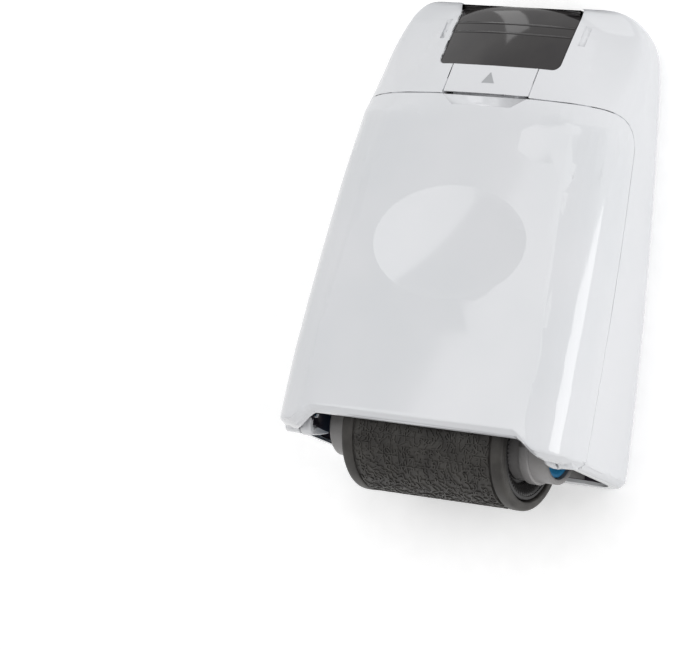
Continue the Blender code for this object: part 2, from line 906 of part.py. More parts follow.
def toothed_ring(side, look):
    """End ring with teeth inside its rim and a web that holds the bush, as one stitched surface."""
    name = "toothed_ring_right" if side > 0 else "toothed_ring_left"
    place = across(roller_y, roller_height)
    root = core_radius - ring_wall
    tip = root - ring_tooth_depth
    bore = bush_radius + gap
    floor = ring_start + ring_web
    points = []
    rings = 0
    for level, radii in ((ring_start, (bore, bore)), (ring_start, (core_radius, core_radius)),
                         (ring_end, (core_radius, core_radius)), (ring_end, (root, tip)),
                         (floor, (root, tip)), (floor, (bore, bore))):
        rings += 1
        for k in range(tooth_count):
            for share, radius in zip(tooth_shares, (radii[0], radii[0], radii[1], radii[1])):
                angle = 2 * math.pi * (k + share) / tooth_count
                points.append(place @ Vector((radius * math.cos(angle), radius * math.sin(angle), side * level)))
    count = len(points) // rings
    faces = []
    for r in range(rings):
        low = r * count
        high = (r + 1) % rings * count
        for k in range(count):
            m = (k + 1) % count
            faces.append((low + k, low + m, high + m, high + k))
    return finish(solid(name, points, faces), look, 30)


def bush(side, look):
    name = "bush_right" if side > 0 else "bush_left"
    high = ring_start + ring_web
    room = mirrored((high - bush_length, high), side)
    return finish(tube(name, bush_radius, axle_radius + gap, across(roller_y, roller_height), *room, 28), look)


def stamp_axle(look):
    reach = hub_end - cap_seat_depth - gap
    made = cylinder("stamp_axle", axle_radius, across(roller_y, roller_height), -reach, reach, 24)
    return finish(made, look)


def ink_foam(look):
    place = across(ink_y, roller_height)
    return finish(tube("ink_foam", ink_radius, ink_core_radius + gap, place,
                       -ink_half_length, ink_half_length, 48), look)


def ink_core(look):
    place = across(ink_y, roller_height)
    reach = ink_half_length + gap + ink_flange_thickness
    return finish(tube("ink_core", ink_core_radius, ink_axle_radius + gap, place, -reach, reach, 32), look)


def ink_flange(side, look):
    name = "ink_flange_right" if side > 0 else "ink_flange_left"
    place = across(ink_y, roller_height)
    low = ink_half_length + gap
    room = mirrored((low, low + ink_flange_thickness), side)
    return finish(tube(name, ink_flange_radius, ink_core_radius + gap, place, *room, 28), look)


def ink_axle(look):
    reach = plate_outer
    made = cylinder("ink_axle", ink_axle_radius, across(ink_y, roller_height), -reach, reach, 20)
    return finish(made, look)


def cartridge_side(side, look):
    """Side frame: a tapered plate with the round hub that enters the drum's end."""
    name = "cartridge_side_right" if side > 0 else "cartridge_side_left"
    place = across(roller_y, roller_height)
    outline = capsule(ink_y - roller_y, hub_radius + plate_foot_margin, plate_top_radius)
    made = prism(name, outline, place, *mirrored((plate_inner, plate_outer), side))
    floor = hub_end - cap_seat_depth
    seat = hub_radius - cap_rim
    hub = [(hub_start, 0), (hub_start, hub_radius), (hub_end, hub_radius), (hub_end, seat),
           (floor, seat), (floor, 0)]
    join(made, turn("hub", [(side * level, radius) for level, radius in hub], place, 36))
    reach = hub_end + overrun
    cut(made, cylinder("bore", axle_radius + gap, place, *mirrored((0, reach), side), 24))
    cut(made, cylinder("bore", ink_axle_radius + gap, across(ink_y, roller_height),
                       *mirrored((0, reach), side), 20))
    return finish(made, look)


def hub_cap(side, look):
    """The blue cap in a hub's end, dished on its outside."""
    name = "hub_cap_right" if side > 0 else "hub_cap_left"
    low = hub_end - cap_seat_depth + gap
    high = low + cap_thickness
    radius = hub_radius - cap_rim - gap
    dished = [(high - cap_dish * (1 - (k / 4) ** 2), radius * cap_dish_share * k / 4) for k in range(5)]
    profile = [(low, 0), (low, radius), (high, radius)] + dished[::-1]
    if side < 0:
        profile = [(-level, r) for level, r in profile]
    return finish(turn(name, profile, across(roller_y, roller_height), 28), look)


def cartridge_hood(look):
    """The hood over the ink roller with the grip that the cartridge is lifted by."""
    inner = ink_radius + hood_clearance
    outer = inner + hood_thickness
    outline = arc((0, 0), outer, -hood_angle, hood_angle, 20)
    outline += arc((0, 0), inner, hood_angle, -hood_angle, 20)
    place = across(ink_y, roller_height)
    half = plate_inner - gap
    made = prism("cartridge_hood", outline, place, -half, half)
    high = outer + grip_length
    grip = rounded_rectangle(grip_half_width, (high - inner - hood_thickness / 2) / 2, grip_thickness)
    middle = (high + inner + hood_thickness / 2) / 2
    base = frame((0, ink_y + middle, roller_height), (1, 0, 0), (0, 1, 0))
    join(made, prism("grip", grip, base, -grip_thickness / 2, grip_thickness / 2))
    return finish(made, look)


def latch_spring(look):
    place = upright(0, latch_spring_y) @ Matrix.Translation((0, 0, latch_post_height + gap))
    room = nose_height(latch_spring_y, wall + gap + tab_nose_thickness) - latch_post_height
    made = coil("latch_spring", place, spring_radius, spring_wire, room - gap - gap - gap, spring_turns)
    return finish(made, look)


def build():
    for old in list(bpy.data.objects):
        bpy.data.objects.remove(old)
    white = material("white_abs", "#e8e9eb", 0.22)
    dark = material("dark_gloss", "#3f3d3c", 0.12)
    rubber = material("stamp_rubber", "#3d3c3a", 0.55)
    black = material("drum_plastic", "#2c2b2b", 0.5)
    grey = material("cartridge_grey", "#b9babc", 0.4)
    blue = material("cap_blue", "#2f86b8", 0.3)
    acetal = material("bush_acetal", "#e4e0d6", 0.45)
    steel = material("steel", "#b4b6b9", 0.3, 1.0)
    foam = material("ink_foam", "#1d1c22", 0.9)
    rear_housing(white)
    front_cover(white)
    latch_tab(white)
    top_knob(dark)
    carriage(grey)
    latch_pin(steel)
    latch_spring(steel)
    stamp_sleeve(rubber)
    drum_core(black)
    stamp_axle(steel)
    ink_foam(foam)
    ink_core(black)
    ink_axle(steel)
    cartridge_hood(grey)
    for side in (1, -1):
        cover_pin(side, steel)
        knob_screw(side, steel)
        toothed_ring(side, black)
        bush(side, acetal)
        ink_flange(side, black)
        cartridge_side(side, grey)
        hub_cap(side, blue)


build()
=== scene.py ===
# %% [markdown]
# # A hand-held roller stamp that hides print
# A white plastic shell, open at its foot, holds a wide rubber roller covered with a jumble of
# raised strokes. Rolled over an address, it prints the jumble on top and nobody can read it.
# The solids, the joints and the collision come from the frame. This file gives them their looks:
# fine meshes where the solids are plain, and a material for every surface.

# %% Load the frame
import json
import math

import bmesh
import bpy
import numpy as np
from mathutils import Matrix, Quaternion, Vector


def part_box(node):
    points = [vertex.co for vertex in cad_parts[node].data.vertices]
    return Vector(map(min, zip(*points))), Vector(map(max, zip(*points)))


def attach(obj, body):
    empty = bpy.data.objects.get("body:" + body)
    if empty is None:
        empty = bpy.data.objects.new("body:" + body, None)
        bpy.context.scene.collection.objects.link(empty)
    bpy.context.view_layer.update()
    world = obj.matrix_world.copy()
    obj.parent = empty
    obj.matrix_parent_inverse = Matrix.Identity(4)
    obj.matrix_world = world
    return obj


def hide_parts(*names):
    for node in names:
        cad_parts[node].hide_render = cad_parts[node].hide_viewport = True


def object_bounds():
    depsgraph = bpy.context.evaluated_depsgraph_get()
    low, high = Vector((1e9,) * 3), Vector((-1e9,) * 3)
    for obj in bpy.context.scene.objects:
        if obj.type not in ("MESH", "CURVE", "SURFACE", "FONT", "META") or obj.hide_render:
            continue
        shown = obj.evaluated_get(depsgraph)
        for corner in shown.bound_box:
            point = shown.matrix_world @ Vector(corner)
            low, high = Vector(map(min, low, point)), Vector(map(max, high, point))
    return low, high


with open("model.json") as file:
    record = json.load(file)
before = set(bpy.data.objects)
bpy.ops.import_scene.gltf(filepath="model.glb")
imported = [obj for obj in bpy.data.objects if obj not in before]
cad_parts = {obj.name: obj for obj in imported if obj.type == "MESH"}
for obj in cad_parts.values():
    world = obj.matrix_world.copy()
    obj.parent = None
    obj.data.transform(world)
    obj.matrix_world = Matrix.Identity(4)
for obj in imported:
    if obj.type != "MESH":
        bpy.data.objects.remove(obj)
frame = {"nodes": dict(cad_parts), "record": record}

cad_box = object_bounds()

# %% [markdown]
# ## The camera
# The photograph looks down at the stamp as it lies on its flat back, from the side of its right
# flank. A long lens keeps the edges nearly parallel. The camera's three axes are written out,
# because they were fitted to the seams and edges of the shell.

# %% Camera
mm = 0.001
image_width = 679
focal_pixels = 3291
sensor_width = 36
camera_place = (0.36549, -0.04759, 0.66614)
camera_right = (0.8463, 0.1326, -0.5159)
camera_up = (-0.0970, 0.9907, 0.0955)
camera_back = (0.5237, -0.0308, 0.8513)


def make_camera():
    """A camera whose axes are the columns of its rotation."""
    data = bpy.data.cameras.new("camera")
    data.sensor_fit = "HORIZONTAL"
    data.sensor_width = sensor_width
    data.lens = focal_pixels / image_width * sensor_width
    made = bpy.data.objects.new("camera", data)
    axes = Matrix((camera_right, camera_up, camera_back)).transposed()
    made.rotation_mode = "QUATERNION"
    made.rotation_quaternion = axes.to_quaternion()
    made.location = camera_place
    bpy.context.scene.collection.objects.link(made)
    bpy.context.scene.camera = made
    print("lens", round(data.lens, 1), "mm")


make_camera()

# %% [markdown]
# ## Colours and nodes
# A hex code is how a screen shows a colour, and Blender wants linear light, so one function
# turns the one into the other. A second one adds a node with its settings and its links, which
# keeps each material down to the few lines that make it what it is.

# %% Helpers for materials
def linear(code):
    """Linear red, green, blue and alpha of an sRGB hex code."""
    parts = [int(code[i : i + 2], 16) / 255 for i in (1, 3, 5)]
    return [c / 12.92 if c <= 0.04045 else ((c + 0.055) / 1.055) ** 2.4 for c in parts] + [1]


def add(tree, kind, inputs=(), **settings):
    """A new node with its settings, whose inputs get values or links."""
    node = tree.nodes.new("ShaderNode" + kind)
    for name, value in settings.items():
        setattr(node, name, value)
    for name, value in dict(inputs).items():
        if isinstance(value, bpy.types.NodeSocket):
            tree.links.new(value, node.inputs[name])
        else:
            node.inputs[name].default_value = value
    return node


def per(size):
    """Scale of a pattern whose features are that many millimetres wide."""
    return 1 / (size * mm)


def new_material(name, **values):
    """A material, its tree, its Principled shader and its place coordinates."""
    made = bpy.data.materials.new(name)
    made.use_nodes = True
    tree = made.node_tree
    shader = tree.nodes["Principled BSDF"]
    for key, value in values.items():
        shader.inputs[key.replace("_", " ")].default_value = value
    place = add(tree, "TexCoord").outputs["Object"]
    return made, tree, shader, place


patch_edges = (0.35, 0.65)


def vary(tree, place, size, low, high, detail=3):
    """A colour that wanders between two hex codes over patches of that size in millimetres."""
    cloud = add(tree, "TexNoise", {"Vector": place, "Scale": per(size), "Detail": detail})
    ramp = add(tree, "ValToRGB", {"Fac": cloud.outputs["Fac"]})
    for stop, position, code in zip(ramp.color_ramp.elements, patch_edges, (low, high)):
        stop.position = position
        stop.color = linear(code)
    return ramp.outputs["Color"]


def blend(tree, share, low, high):
    """One colour at a share of 0, the other at 1."""
    node = add(tree, "Mix", data_type="RGBA")
    for name, value in (("Factor", share), ("A", low), ("B", high)):
        socket = [s for s in node.inputs if s.name == name and s.enabled][0]
        tree.links.new(value, socket)
    return [s for s in node.outputs if s.enabled][0]


def spread(tree, value, low, high):
    """A value from 0 to 1 mapped to low to high."""
    inputs = {"Value": value, "To Min": low, "To Max": high}
    return add(tree, "MapRange", inputs).outputs["Result"]


def dress(tree, shader, colour, rough, height, strength, relief):
    """Gives a shader its colour, its roughness and a relief of that many millimetres."""
    bump = add(tree, "Bump", {"Height": height, "Strength": strength, "Distance": relief * mm})
    tree.links.new(colour, shader.inputs["Base Color"])
    tree.links.new(rough, shader.inputs["Roughness"])
    tree.links.new(bump.outputs["Normal"], shader.inputs["Normal"])


# %% [markdown]
# ## White shell plastic
# The shell is glossy ABS from a polished mould. It is a cool white, and its surface isn't a
# mirror: faint ripples about a millimetre wide, called orange peel, break up the highlights.
# A very slow change of tone keeps large faces from looking like paper.

# %% Shell plastic
def glossy_white_abs():
    made, tree, shader, place = new_material("glossy_white_abs", IOR=1.53, Coat_Weight=0.15)
    colour = vary(tree, place, 30, "#dfe1e4", "#e4e5e8")
    ripple = add(tree, "TexNoise", {"Vector": place, "Scale": per(1.1), "Detail": 2})
    haze = add(tree, "TexNoise", {"Vector": place, "Scale": per(9), "Detail": 4})
    rough = spread(tree, haze.outputs["Fac"], 0.04, 0.09)
    dress(tree, shader, colour, rough, ripple.outputs["Fac"], 0.03, 0.01)
    return made


# %% [markdown]
# ## Painted shade inside the shell
# Through the open foot the inside of the shell looks nearly black with a touch of purple. That
# darkness is painted shade: the same plastic, left with the dull texture of the mould's core,
# coloured dark where shade falls. The painted shade reaches up past the ink roller and thins
# out there, so the top end stays white inside.

# %% Inside of the shell
shade_fade_low = -15 * mm
shade_fade_high = 8 * mm


def painted_shade_inner_abs():
    made, tree, shader, place = new_material("painted_shade_inner_abs", IOR=1.53)
    # Painted shade: nearly black low in the shell, fading to light grey up towards the top end.
    painted_shade = vary(tree, place, 6, "#1d1822", "#2c2532", 5)
    clear = vary(tree, place, 9, "#cfd0d3", "#d9dadc")
    way = add(tree, "SeparateXYZ", {"Vector": place})
    inputs = {"Value": way.outputs["Y"], "From Min": shade_fade_low, "From Max": shade_fade_high}
    shade_fade = add(tree, "MapRange", inputs)
    colour = blend(tree, shade_fade.outputs["Result"], painted_shade, clear)
    grain = add(tree, "TexNoise", {"Vector": place, "Scale": per(0.35), "Detail": 3})
    rough = spread(tree, grain.outputs["Fac"], 0.45, 0.7)
    dress(tree, shader, colour, rough, grain.outputs["Fac"], 0.25, 0.05)
    return made


# %% [markdown]
# ## Plastics of the working parts
# The knob is dark glossy ABS, the cartridge is grey ABS from a spark-eroded mould, which leaves
# a fine satin grain, and the drum is black and duller. They differ in colour, gloss and grain
# only, so one function makes them all.

# %% Plastics of the working parts
def moulded_plastic(name, low, high, smooth, rough, grain_size, grain_height, ior=1.53):
    """Moulded plastic with a wandering tone and the grain that its mould leaves."""
    made, tree, shader, place = new_material(name, IOR=ior)
    grain = add(tree, "TexNoise", {"Vector": place, "Scale": per(grain_size), "Detail": 3})
    haze = add(tree, "TexNoise", {"Vector": place, "Scale": per(5), "Detail": 4})
    colour = vary(tree, place, 7, low, high)
    dull = spread(tree, haze.outputs["Fac"], smooth, rough)
    dress(tree, shader, colour, dull, grain.outputs["Fac"], 0.3, grain_height)
    return made


# %% [markdown]
# ## Stamp rubber
# The sleeve is moulded nitrile rubber, dark grey, with a soft sheen. Ink dries on it in
# cloudy patches, and the grain of the rubber shows as a fine roughness.

# %% Stamp rubber
def moulded_nitrile_rubber():
    made, tree, shader, place = new_material("moulded_nitrile_rubber", IOR=1.52)
    shader.inputs["Specular IOR Level"].default_value = 0.3
    colour = vary(tree, place, 4, "#3b3937", "#4a4845", 5)
    grain = add(tree, "TexNoise", {"Vector": place, "Scale": per(0.3), "Detail": 4})
    rough = spread(tree, grain.outputs["Fac"], 0.38, 0.6)
    dress(tree, shader, colour, rough, grain.outputs["Fac"], 0.3, 0.04)
    return made


# %% [markdown]
# ## Ink foam
# The ink roller is open-cell foam soaked in black ink. Its cells are about half a millimetre
# wide, and their rims catch the light, which a Voronoi pattern gives as both bump and colour.

# %% Ink foam
def inked_foam():
    made, tree, shader, place = new_material("inked_foam", IOR=1.45)
    cells = add(tree, "TexVoronoi", {"Vector": place, "Scale": per(0.55)})
    ramp = add(tree, "ValToRGB", {"Fac": cells.outputs["Distance"]})
    ramp.color_ramp.elements[0].color = linear("#0e0d13")
    ramp.color_ramp.elements[1].color = linear("#2b2933")
    rough = spread(tree, cells.outputs["Distance"], 0.55, 0.9)
    dress(tree, shader, ramp.outputs["Color"], rough, cells.outputs["Distance"], 0.9, 0.25)
    return made


# %% [markdown]
# ## Ground steel
# Axles and pins are drawn and ground steel. The grinding leaves rings round the rod a few
# hundredths of a millimetre apart. They are drawn here as bands about 2 mm apart, because finer
# ones wouldn't show. A wave's bands are about a third of its unit apart, so its unit is 6 mm.

# %% Ground steel
def ground_steel():
    made, tree, shader, place = new_material("ground_steel", Metallic=1)
    rings = add(tree, "TexWave", {"Vector": place, "Scale": per(6), "Distortion": 1.5},
                bands_direction="X")
    colour = vary(tree, place, 3, "#a9abae", "#bcbec1")
    rough = spread(tree, rings.outputs["Fac"], 0.22, 0.36)
    dress(tree, shader, colour, rough, rings.outputs["Fac"], 0.15, 0.02)
    return made


looks = {
    "shell_white": glossy_white_abs(),
    "inside": painted_shade_inner_abs(),
    "knob_dark": moulded_plastic("glossy_dark_abs", "#343233", "#393737", 0.05, 0.1, 1.2, 0.004),
    "frame_grey": moulded_plastic("satin_grey_abs", "#8e8c8b", "#989696", 0.3, 0.42, 0.25, 0.02),
    "cap_blue": moulded_plastic("blue_abs", "#2a7fb0", "#338cbf", 0.24, 0.36, 0.4, 0.01),
    "drum_black": moulded_plastic("black_abs", "#242323", "#302f2f", 0.35, 0.5, 0.3, 0.02),
    "bush_acetal": moulded_plastic("natural_acetal", "#ddd9ce", "#e6e2d8", 0.34, 0.46, 0.4, 0.01, 1.48),
    "print": moulded_plastic("grey_pad_print", "#a4a6a9", "#afb1b4", 0.4, 0.5, 0.2, 0.005),
    "stamp_rubber": moulded_nitrile_rubber(),
    "ink_foam": inked_foam(),
    "steel": ground_steel(),
}
print("materials:", len(looks))

# %% [markdown]
# ## From arrays to pieces
# Every new piece is a sheet of points on a grid, worked out as whole arrays. Joining each point
# to its neighbours gives the faces. Points that fall together at a pole or a seam are merged,
# and if the volume comes out negative the sheet was inside out, so it is turned.

# %% Meshes from grids
bodies = frame["record"]["behaviour"]["bodies"]
body_of = {node: body for body, nodes in bodies.items() for node in nodes}
slot_of = {part["node"]: part["material_slot"] for part in frame["record"]["subparts"]}
merge_distance = 0.0005 * mm


def grid_faces(rows, columns, close_rows=False, close_columns=False):
    """Quads of a grid, from each point to the next in both directions."""
    i = np.arange(rows if close_rows else rows - 1)[:, None]
    j = np.arange(columns if close_columns else columns - 1)[None, :]
    after_i = (i + 1) % rows
    after_j = (j + 1) % columns
    quads = [i * columns + j, i * columns + after_j, after_i * columns + after_j, after_i * columns + j]
    return np.stack(quads, axis=-1).reshape(-1, 4)


def clean(mesh):
    """Merges points that coincide and turns the faces outwards."""
    edit = bmesh.new()
    edit.from_mesh(mesh)
    bmesh.ops.remove_doubles(edit, verts=edit.verts, dist=merge_distance)
    if edit.calc_volume(signed=True) < 0:
        bmesh.ops.reverse_faces(edit, faces=edit.faces)
    edit.to_mesh(mesh)
    edit.free()


def show(mesh, name, body, slot, angle, *replaced):
    """Puts a mesh in the scene as a finished piece that rides on its body."""
    mesh.materials.clear()
    mesh.materials.append(looks[slot])
    mesh.shade_smooth()
    mesh.set_sharp_from_angle(angle=math.radians(angle))
    made = bpy.data.objects.new(name, mesh)
    bpy.context.scene.collection.objects.link(made)
    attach(made, body)
    if replaced:
        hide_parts(*replaced)
    return made


def piece(name, points, faces, body, slot, *replaced, angle=35):
    mesh = bpy.data.meshes.new(name)
    mesh.from_pydata(np.reshape(points, (-1, 3)).tolist(), [], np.asarray(faces).tolist())
    clean(mesh)
    return show(mesh, name, body, slot, angle, *replaced)


def merged_copy(node):
    """A copy of a solid's mesh with its loose triangles joined."""
    mesh = frame["nodes"][node].data.copy()
    edit = bmesh.new()
    edit.from_mesh(mesh)
    bmesh.ops.remove_doubles(edit, verts=edit.verts, dist=merge_distance)
    edit.to_mesh(mesh)
    edit.free()
    return mesh


# %% [markdown]
# ## The form of the shell
# The shell is one smooth form that the seams only cut up. Each cross-section has a rounded back
# corner, a straight flank, a tall curve up to a ridge and a front that arches more and more
# towards the top end. Where the solids are cut into few faces, shading them with the normals of
# the true form makes them look smooth. So the form is worked out again here on a fine grid.

# %% The form of the shell
shell_low, shell_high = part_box("rear_housing")
bottom = shell_low.y
top = shell_high.y
shell_width = 76.3 * mm
shell_depth = 38.5 * mm
front_fall_share = 0.502979
front_slope = front_fall_share * shell_depth / (top - bottom)
roller_low, roller_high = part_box("stamp_sleeve")
roller_y = (roller_low.y + roller_high.y) / 2
roller_z = (roller_low.z + roller_high.z) / 2
seam_y = top - 22.7 * mm
tip_width = 20.8 * mm
tip_height_share = 0.311688
tip_height = tip_height_share * shell_depth
shoulder_length = 15.8 * mm
crown_length = 27.7 * mm
back_crown_length = 9.5 * mm
side_taper = 3.7 * mm
arch_from_top = 29.2 * mm
arch_length = 28.5 * mm
arch_drop = 2.8 * mm
arch_reach = 16 * mm
lip_round = 2.2 * mm
back_corner = 5.5 * mm
front_corner_share = 0.332468
front_corner = front_corner_share * shell_depth
ridge_share = 0.38
ridge = ridge_share * shell_width
shoulder_power = 2.75
crown_power = 1.58
back_crown_power = 2
ridge_power = 2.2
back_round_share = 0.4
front_round_share = 0.5
side_height_share = 0.45
mouth_slope = 9.3 * mm / shell_depth
mouth_blend = 22 * mm
crease = math.radians(15)
corner_pull = 0.67
mouth_flank_share = 0.58
flank_bend_start = 25.5 * mm
flank_bend_length = 6.5 * mm


def closing(y, length, power):
    """What is left of a size at y: one minus the reach to a power, all to one over that power."""
    reach = np.clip((y - top + length) / length, 0, 1)
    return (1 - reach**power) ** (1 / power)


def flank_reach(x):
    """How far a place is round the bend from the front to the flank: 0 to 1, eased at both ends."""
    reach = np.clip((np.abs(x) - flank_bend_start) / flank_bend_length, 0, 1)
    return reach**2 * (3 - 2 * reach)


def shell_form(y, steps, flank_share=1):
    """Points of the outer form: one row for each y, from the back's middle over the right flank.

    The back corner is a quarter circle. The front corner is a cubic curve that leaves the flank
    upright and meets the ridge at the crease angle. The front falls with the square of x. Near
    the mouth a point moves up the body by its height times the lean.
    """
    y = np.asarray(y)[:, None]
    t = np.linspace(0, 1, steps)[None, :]
    lean = np.clip(1 - (y - bottom) / mouth_blend, 0, 1) * mouth_slope
    away = np.clip((y - bottom) / lip_round, 0, 1)
    turned = lip_round * (1 - np.sqrt(1 - (1 - away) ** 2))
    side = shell_width / 2 - side_taper * ((y - bottom) / (seam_y - bottom)) ** 2
    width = tip_width + (side - tip_width) * closing(y, shoulder_length, shoulder_power) - turned
    plane = shell_depth - front_slope * (y - roller_y)
    front = tip_height + (plane - tip_height) * closing(y, crown_length, crown_power) - turned
    front = front / (1 + front_slope * lean)
    back = tip_height * (1 - closing(y, back_crown_length, back_crown_power))
    depth = front - back
    round_back = np.minimum(np.minimum(back_corner, depth * back_round_share), width * back_round_share)
    round_front = np.minimum(front_corner, depth * front_round_share)
    edge = ridge * (width / (shell_width / 2)) ** ridge_power
    along = np.clip((y - top + arch_from_top) / arch_length, 0, 1)
    side_height = depth * side_height_share
    fall = np.minimum(arch_drop * (1 - (1 - along) ** 2) * (edge / arch_reach) ** 2, side_height)
    low = np.maximum(front - round_front - fall / 2, back + side_height)
    high = front - fall
    flat_back = (t * (width - round_back), back + 0 * t)
    angle = (t - 1) * math.pi / 2
    turn_back = (width - round_back + round_back * np.cos(angle), back + round_back * (1 + np.sin(angle)))
    across = (width - edge) * corner_pull
    rise = high - low
    crease_fall = np.minimum(across * math.sin(crease), rise / 2)
    weights = ((1 - t) ** 3, 3 * t * (1 - t) ** 2, 3 * t * t * (1 - t), t**3)
    corner_x = (width, width, edge + across * math.cos(crease), edge)
    corner_z = (low, low + rise * corner_pull, high - crease_fall, high)
    corner = (sum(w * p for w, p in zip(weights, corner_x)), sum(w * p for w, p in zip(weights, corner_z)))
    share = 1 - t
    face = (edge * share, front - fall * share**2)
    x = np.concatenate([part[0] + 0 * t for part in (flat_back, turn_back, corner, face)], axis=1)
    z = np.concatenate([part[1] + 0 * t for part in (flat_back, turn_back, corner, face)], axis=1)
    lean = lean * (1 - (1 - flank_share) * flank_reach(x))
    return np.stack([x, y + lean * z, z], axis=-1)


def normals_of(grid):
    """Unit normals of a grid: the cross product of its two directions."""
    along = np.gradient(grid, axis=0)
    across = np.gradient(grid, axis=1)
    made = np.cross(across, along)
    return made / np.maximum(np.linalg.norm(made, axis=-1, keepdims=True), 1e-12)


form_rows = 220
form_steps = 40
form_end_share = 0.9995
form_crowding = 0.8
form_shares = 1 - np.linspace(0, form_end_share, form_rows) ** form_crowding
form_stations = top - (top - bottom) * form_shares
form_grid = shell_form(form_stations, form_steps)
bent_grid = shell_form(form_stations, form_steps, mouth_flank_share)
form_normals = normals_of(form_grid)
usable = np.linalg.norm(form_normals, axis=-1) > 0.5
flip_x = np.array((-1, 1, 1))


def both_sides(right):
    """The samples of the right half and their mirror images."""
    return np.concatenate([right, right * flip_x])


form_points = both_sides(form_grid[usable])
form_directions = both_sides(form_normals[usable])
bent_directions = both_sides(normals_of(bent_grid)[usable])
along = form_points[:, 1].argsort()
form_points, form_directions, bent_directions = (
    rows[along] for rows in (form_points, form_directions, bent_directions))
if form_directions[np.argmax(form_points[:, 0]), 0] < 0:
    form_directions = -form_directions
    bent_directions = -bent_directions
print("form of the shell:", len(form_points), "samples")

# %% [markdown]
# ## Finer cuts of the solids
# Housing, cover, tab and knob are all cut from that form. Their solids have few faces, so a copy
# of each is sliced by planes into finer faces. The photograph shows the flanks reaching lower at
# the mouth than the front does, so the copy's outer walls are also drawn down there.

# %% Finer cuts of the solids
follow_angle = math.radians(35)
follow_depth = 0.13 * mm
search_reach = 5 * mm
block_size = 150
least_samples = 1000
knob_depth = 1.0 * mm
wall_depth = 7 * mm
wall_fade = 1.4 * mm
white_lip = 0.8 * mm
slices_x = [x * mm for x in (-30, -24, -12, 0, 12, 24, 30)]
slices_x += [side * x * mm for side in (-1, 1) for x in (20, 22, 26, 27, 28, 29, 31, 32, 34, 36)]
slices_y = [bottom + step * mm for step in (1, 2, 3, 4.5, 6, 8, 11, 14, 18, 22)]
slices_y += [top - step * mm for step in (30, 26, 22, 19, 16, 13.5, 11, 9, 7, 5.5, 4, 3, 2, 1.2, 0.6)]
slices_z = [z * mm for z in (0.4, 1, 2, 3.2, 4.5, 8, 12, 16, 20, 24, 27, 29, 31, 33, 34.5, 36)]
dish_y = top - 56.7 * mm
dish_middle = np.array((0, dish_y, shell_depth - front_slope * (dish_y - roller_y)))
dish_half = np.array((19.5, 13.2)) * mm
dish_depth = 1.0 * mm
front_lean = math.atan(front_slope)
front_axes = np.array(((1, 0, 0), (0, math.cos(front_lean), -math.sin(front_lean)),
                       (0, math.sin(front_lean), math.cos(front_lean))))


def nearest(places):
    """Index of the sample nearest to each place. Blocks of places search their own stretch of Y."""
    order = places[:, 1].argsort()
    found = np.empty(len(places), dtype=int)
    for block in np.array_split(order, max(1, len(places) // block_size)):
        ends = (places[block[0], 1] - search_reach, places[block[-1], 1] + search_reach)
        first, last = np.searchsorted(form_points[:, 1], ends)
        first = min(first, len(form_points) - least_samples)
        stretch = form_points[first : max(last, first + least_samples)]
        away = ((places[block][:, None, :] - stretch[None, :, :]) ** 2).sum(axis=-1)
        found[block] = first + away.argmin(axis=1)
    return found


def read_rows(items, attribute):
    """A vector attribute of all items, as rows of three numbers."""
    rows = np.empty(len(items) * 3)
    items.foreach_get(attribute, rows)
    return rows.reshape(-1, 3)


def sliced(node):
    """A merged copy of a solid, cut by planes where the form curves and along the lip's edge."""
    mesh = merged_copy(node)
    edit = bmesh.new()
    edit.from_mesh(mesh)
    planes = []
    for axis, levels in enumerate((slices_x, slices_y, slices_z)):
        direction = Vector([float(k == axis) for k in range(3)])
        planes += [(direction * level, direction) for level in levels]
    planes.append(((0, bottom + white_lip, 0), (0, 1, -mouth_slope)))
    for place, direction in planes:
        parts = edit.verts[:] + edit.edges[:] + edit.faces[:]
        bmesh.ops.bisect_plane(edit, geom=parts, dist=merge_distance, plane_co=place, plane_no=direction)
    bmesh.ops.triangulate(edit, faces=edit.faces)
    edit.to_mesh(mesh)
    edit.free()
    return mesh


def in_dish(places):
    """Share of the way from the middle of the dish to its rim, and the places in the dish's axes."""
    local = (places - dish_middle) @ front_axes.T
    share = np.sqrt(((local[:, :2] / dish_half) ** 2).sum(axis=-1))
    return share, local


def draw_down(places, depth):
    """Moves walls near the mouth down the body, by the lean that the flanks leave out."""
    rise = mouth_slope * places[:, 2]
    station = (places[:, 1] - rise * (1 + bottom / mouth_blend)) / (1 - rise / mouth_blend)
    lean = mouth_slope * np.clip(1 - (station - bottom) / mouth_blend, 0, 1)
    part = (1 - mouth_flank_share) * flank_reach(places[:, 0])
    skin = np.clip((wall_depth - depth) / wall_fade, 0, 1)
    return places - np.outer(lean * places[:, 2] * part * skin, (0, 1, 0))


# %% [markdown]
# ## Points onto the form
# A cut solid's points lie a little off the true form, because its faces are flat. Those within
# a tenth of a millimetre or so are moved onto it, and those of the thumb dish onto a bowl whose
# depth falls off with the square of the way out to its rim.

# %% Points onto the form
dish_rim_share = 0.995
dish_reach_share = 1.002
solid_corners = np.array([list(corner) for corner in cad_box])


def set_on_form(node, places):
    """Moves points onto the form or the bowl, and tells where each one belongs."""
    sample = nearest(places)
    depth = ((form_points[sample] - places) * form_directions[sample]).sum(axis=-1)
    share, local = in_dish(places)
    level = knob_depth if node == "top_knob" else 0
    near_bowl = np.abs(local[:, 2]) < dish_depth + follow_depth
    bowl = (share < dish_reach_share) & near_bowl & (node == "front_cover")
    inner_bowl = bowl & (share < dish_rim_share)
    on_form = (np.abs(depth - level) < follow_depth) & ~inner_bowl
    places[on_form] += ((depth - level)[:, None] * form_directions[sample])[on_form]
    sunk = -dish_depth * (1 - share**2)
    places[inner_bowl] += ((sunk - local[:, 2])[:, None] * front_axes[2])[inner_bowl]
    return sample, depth, share, local, bowl, on_form
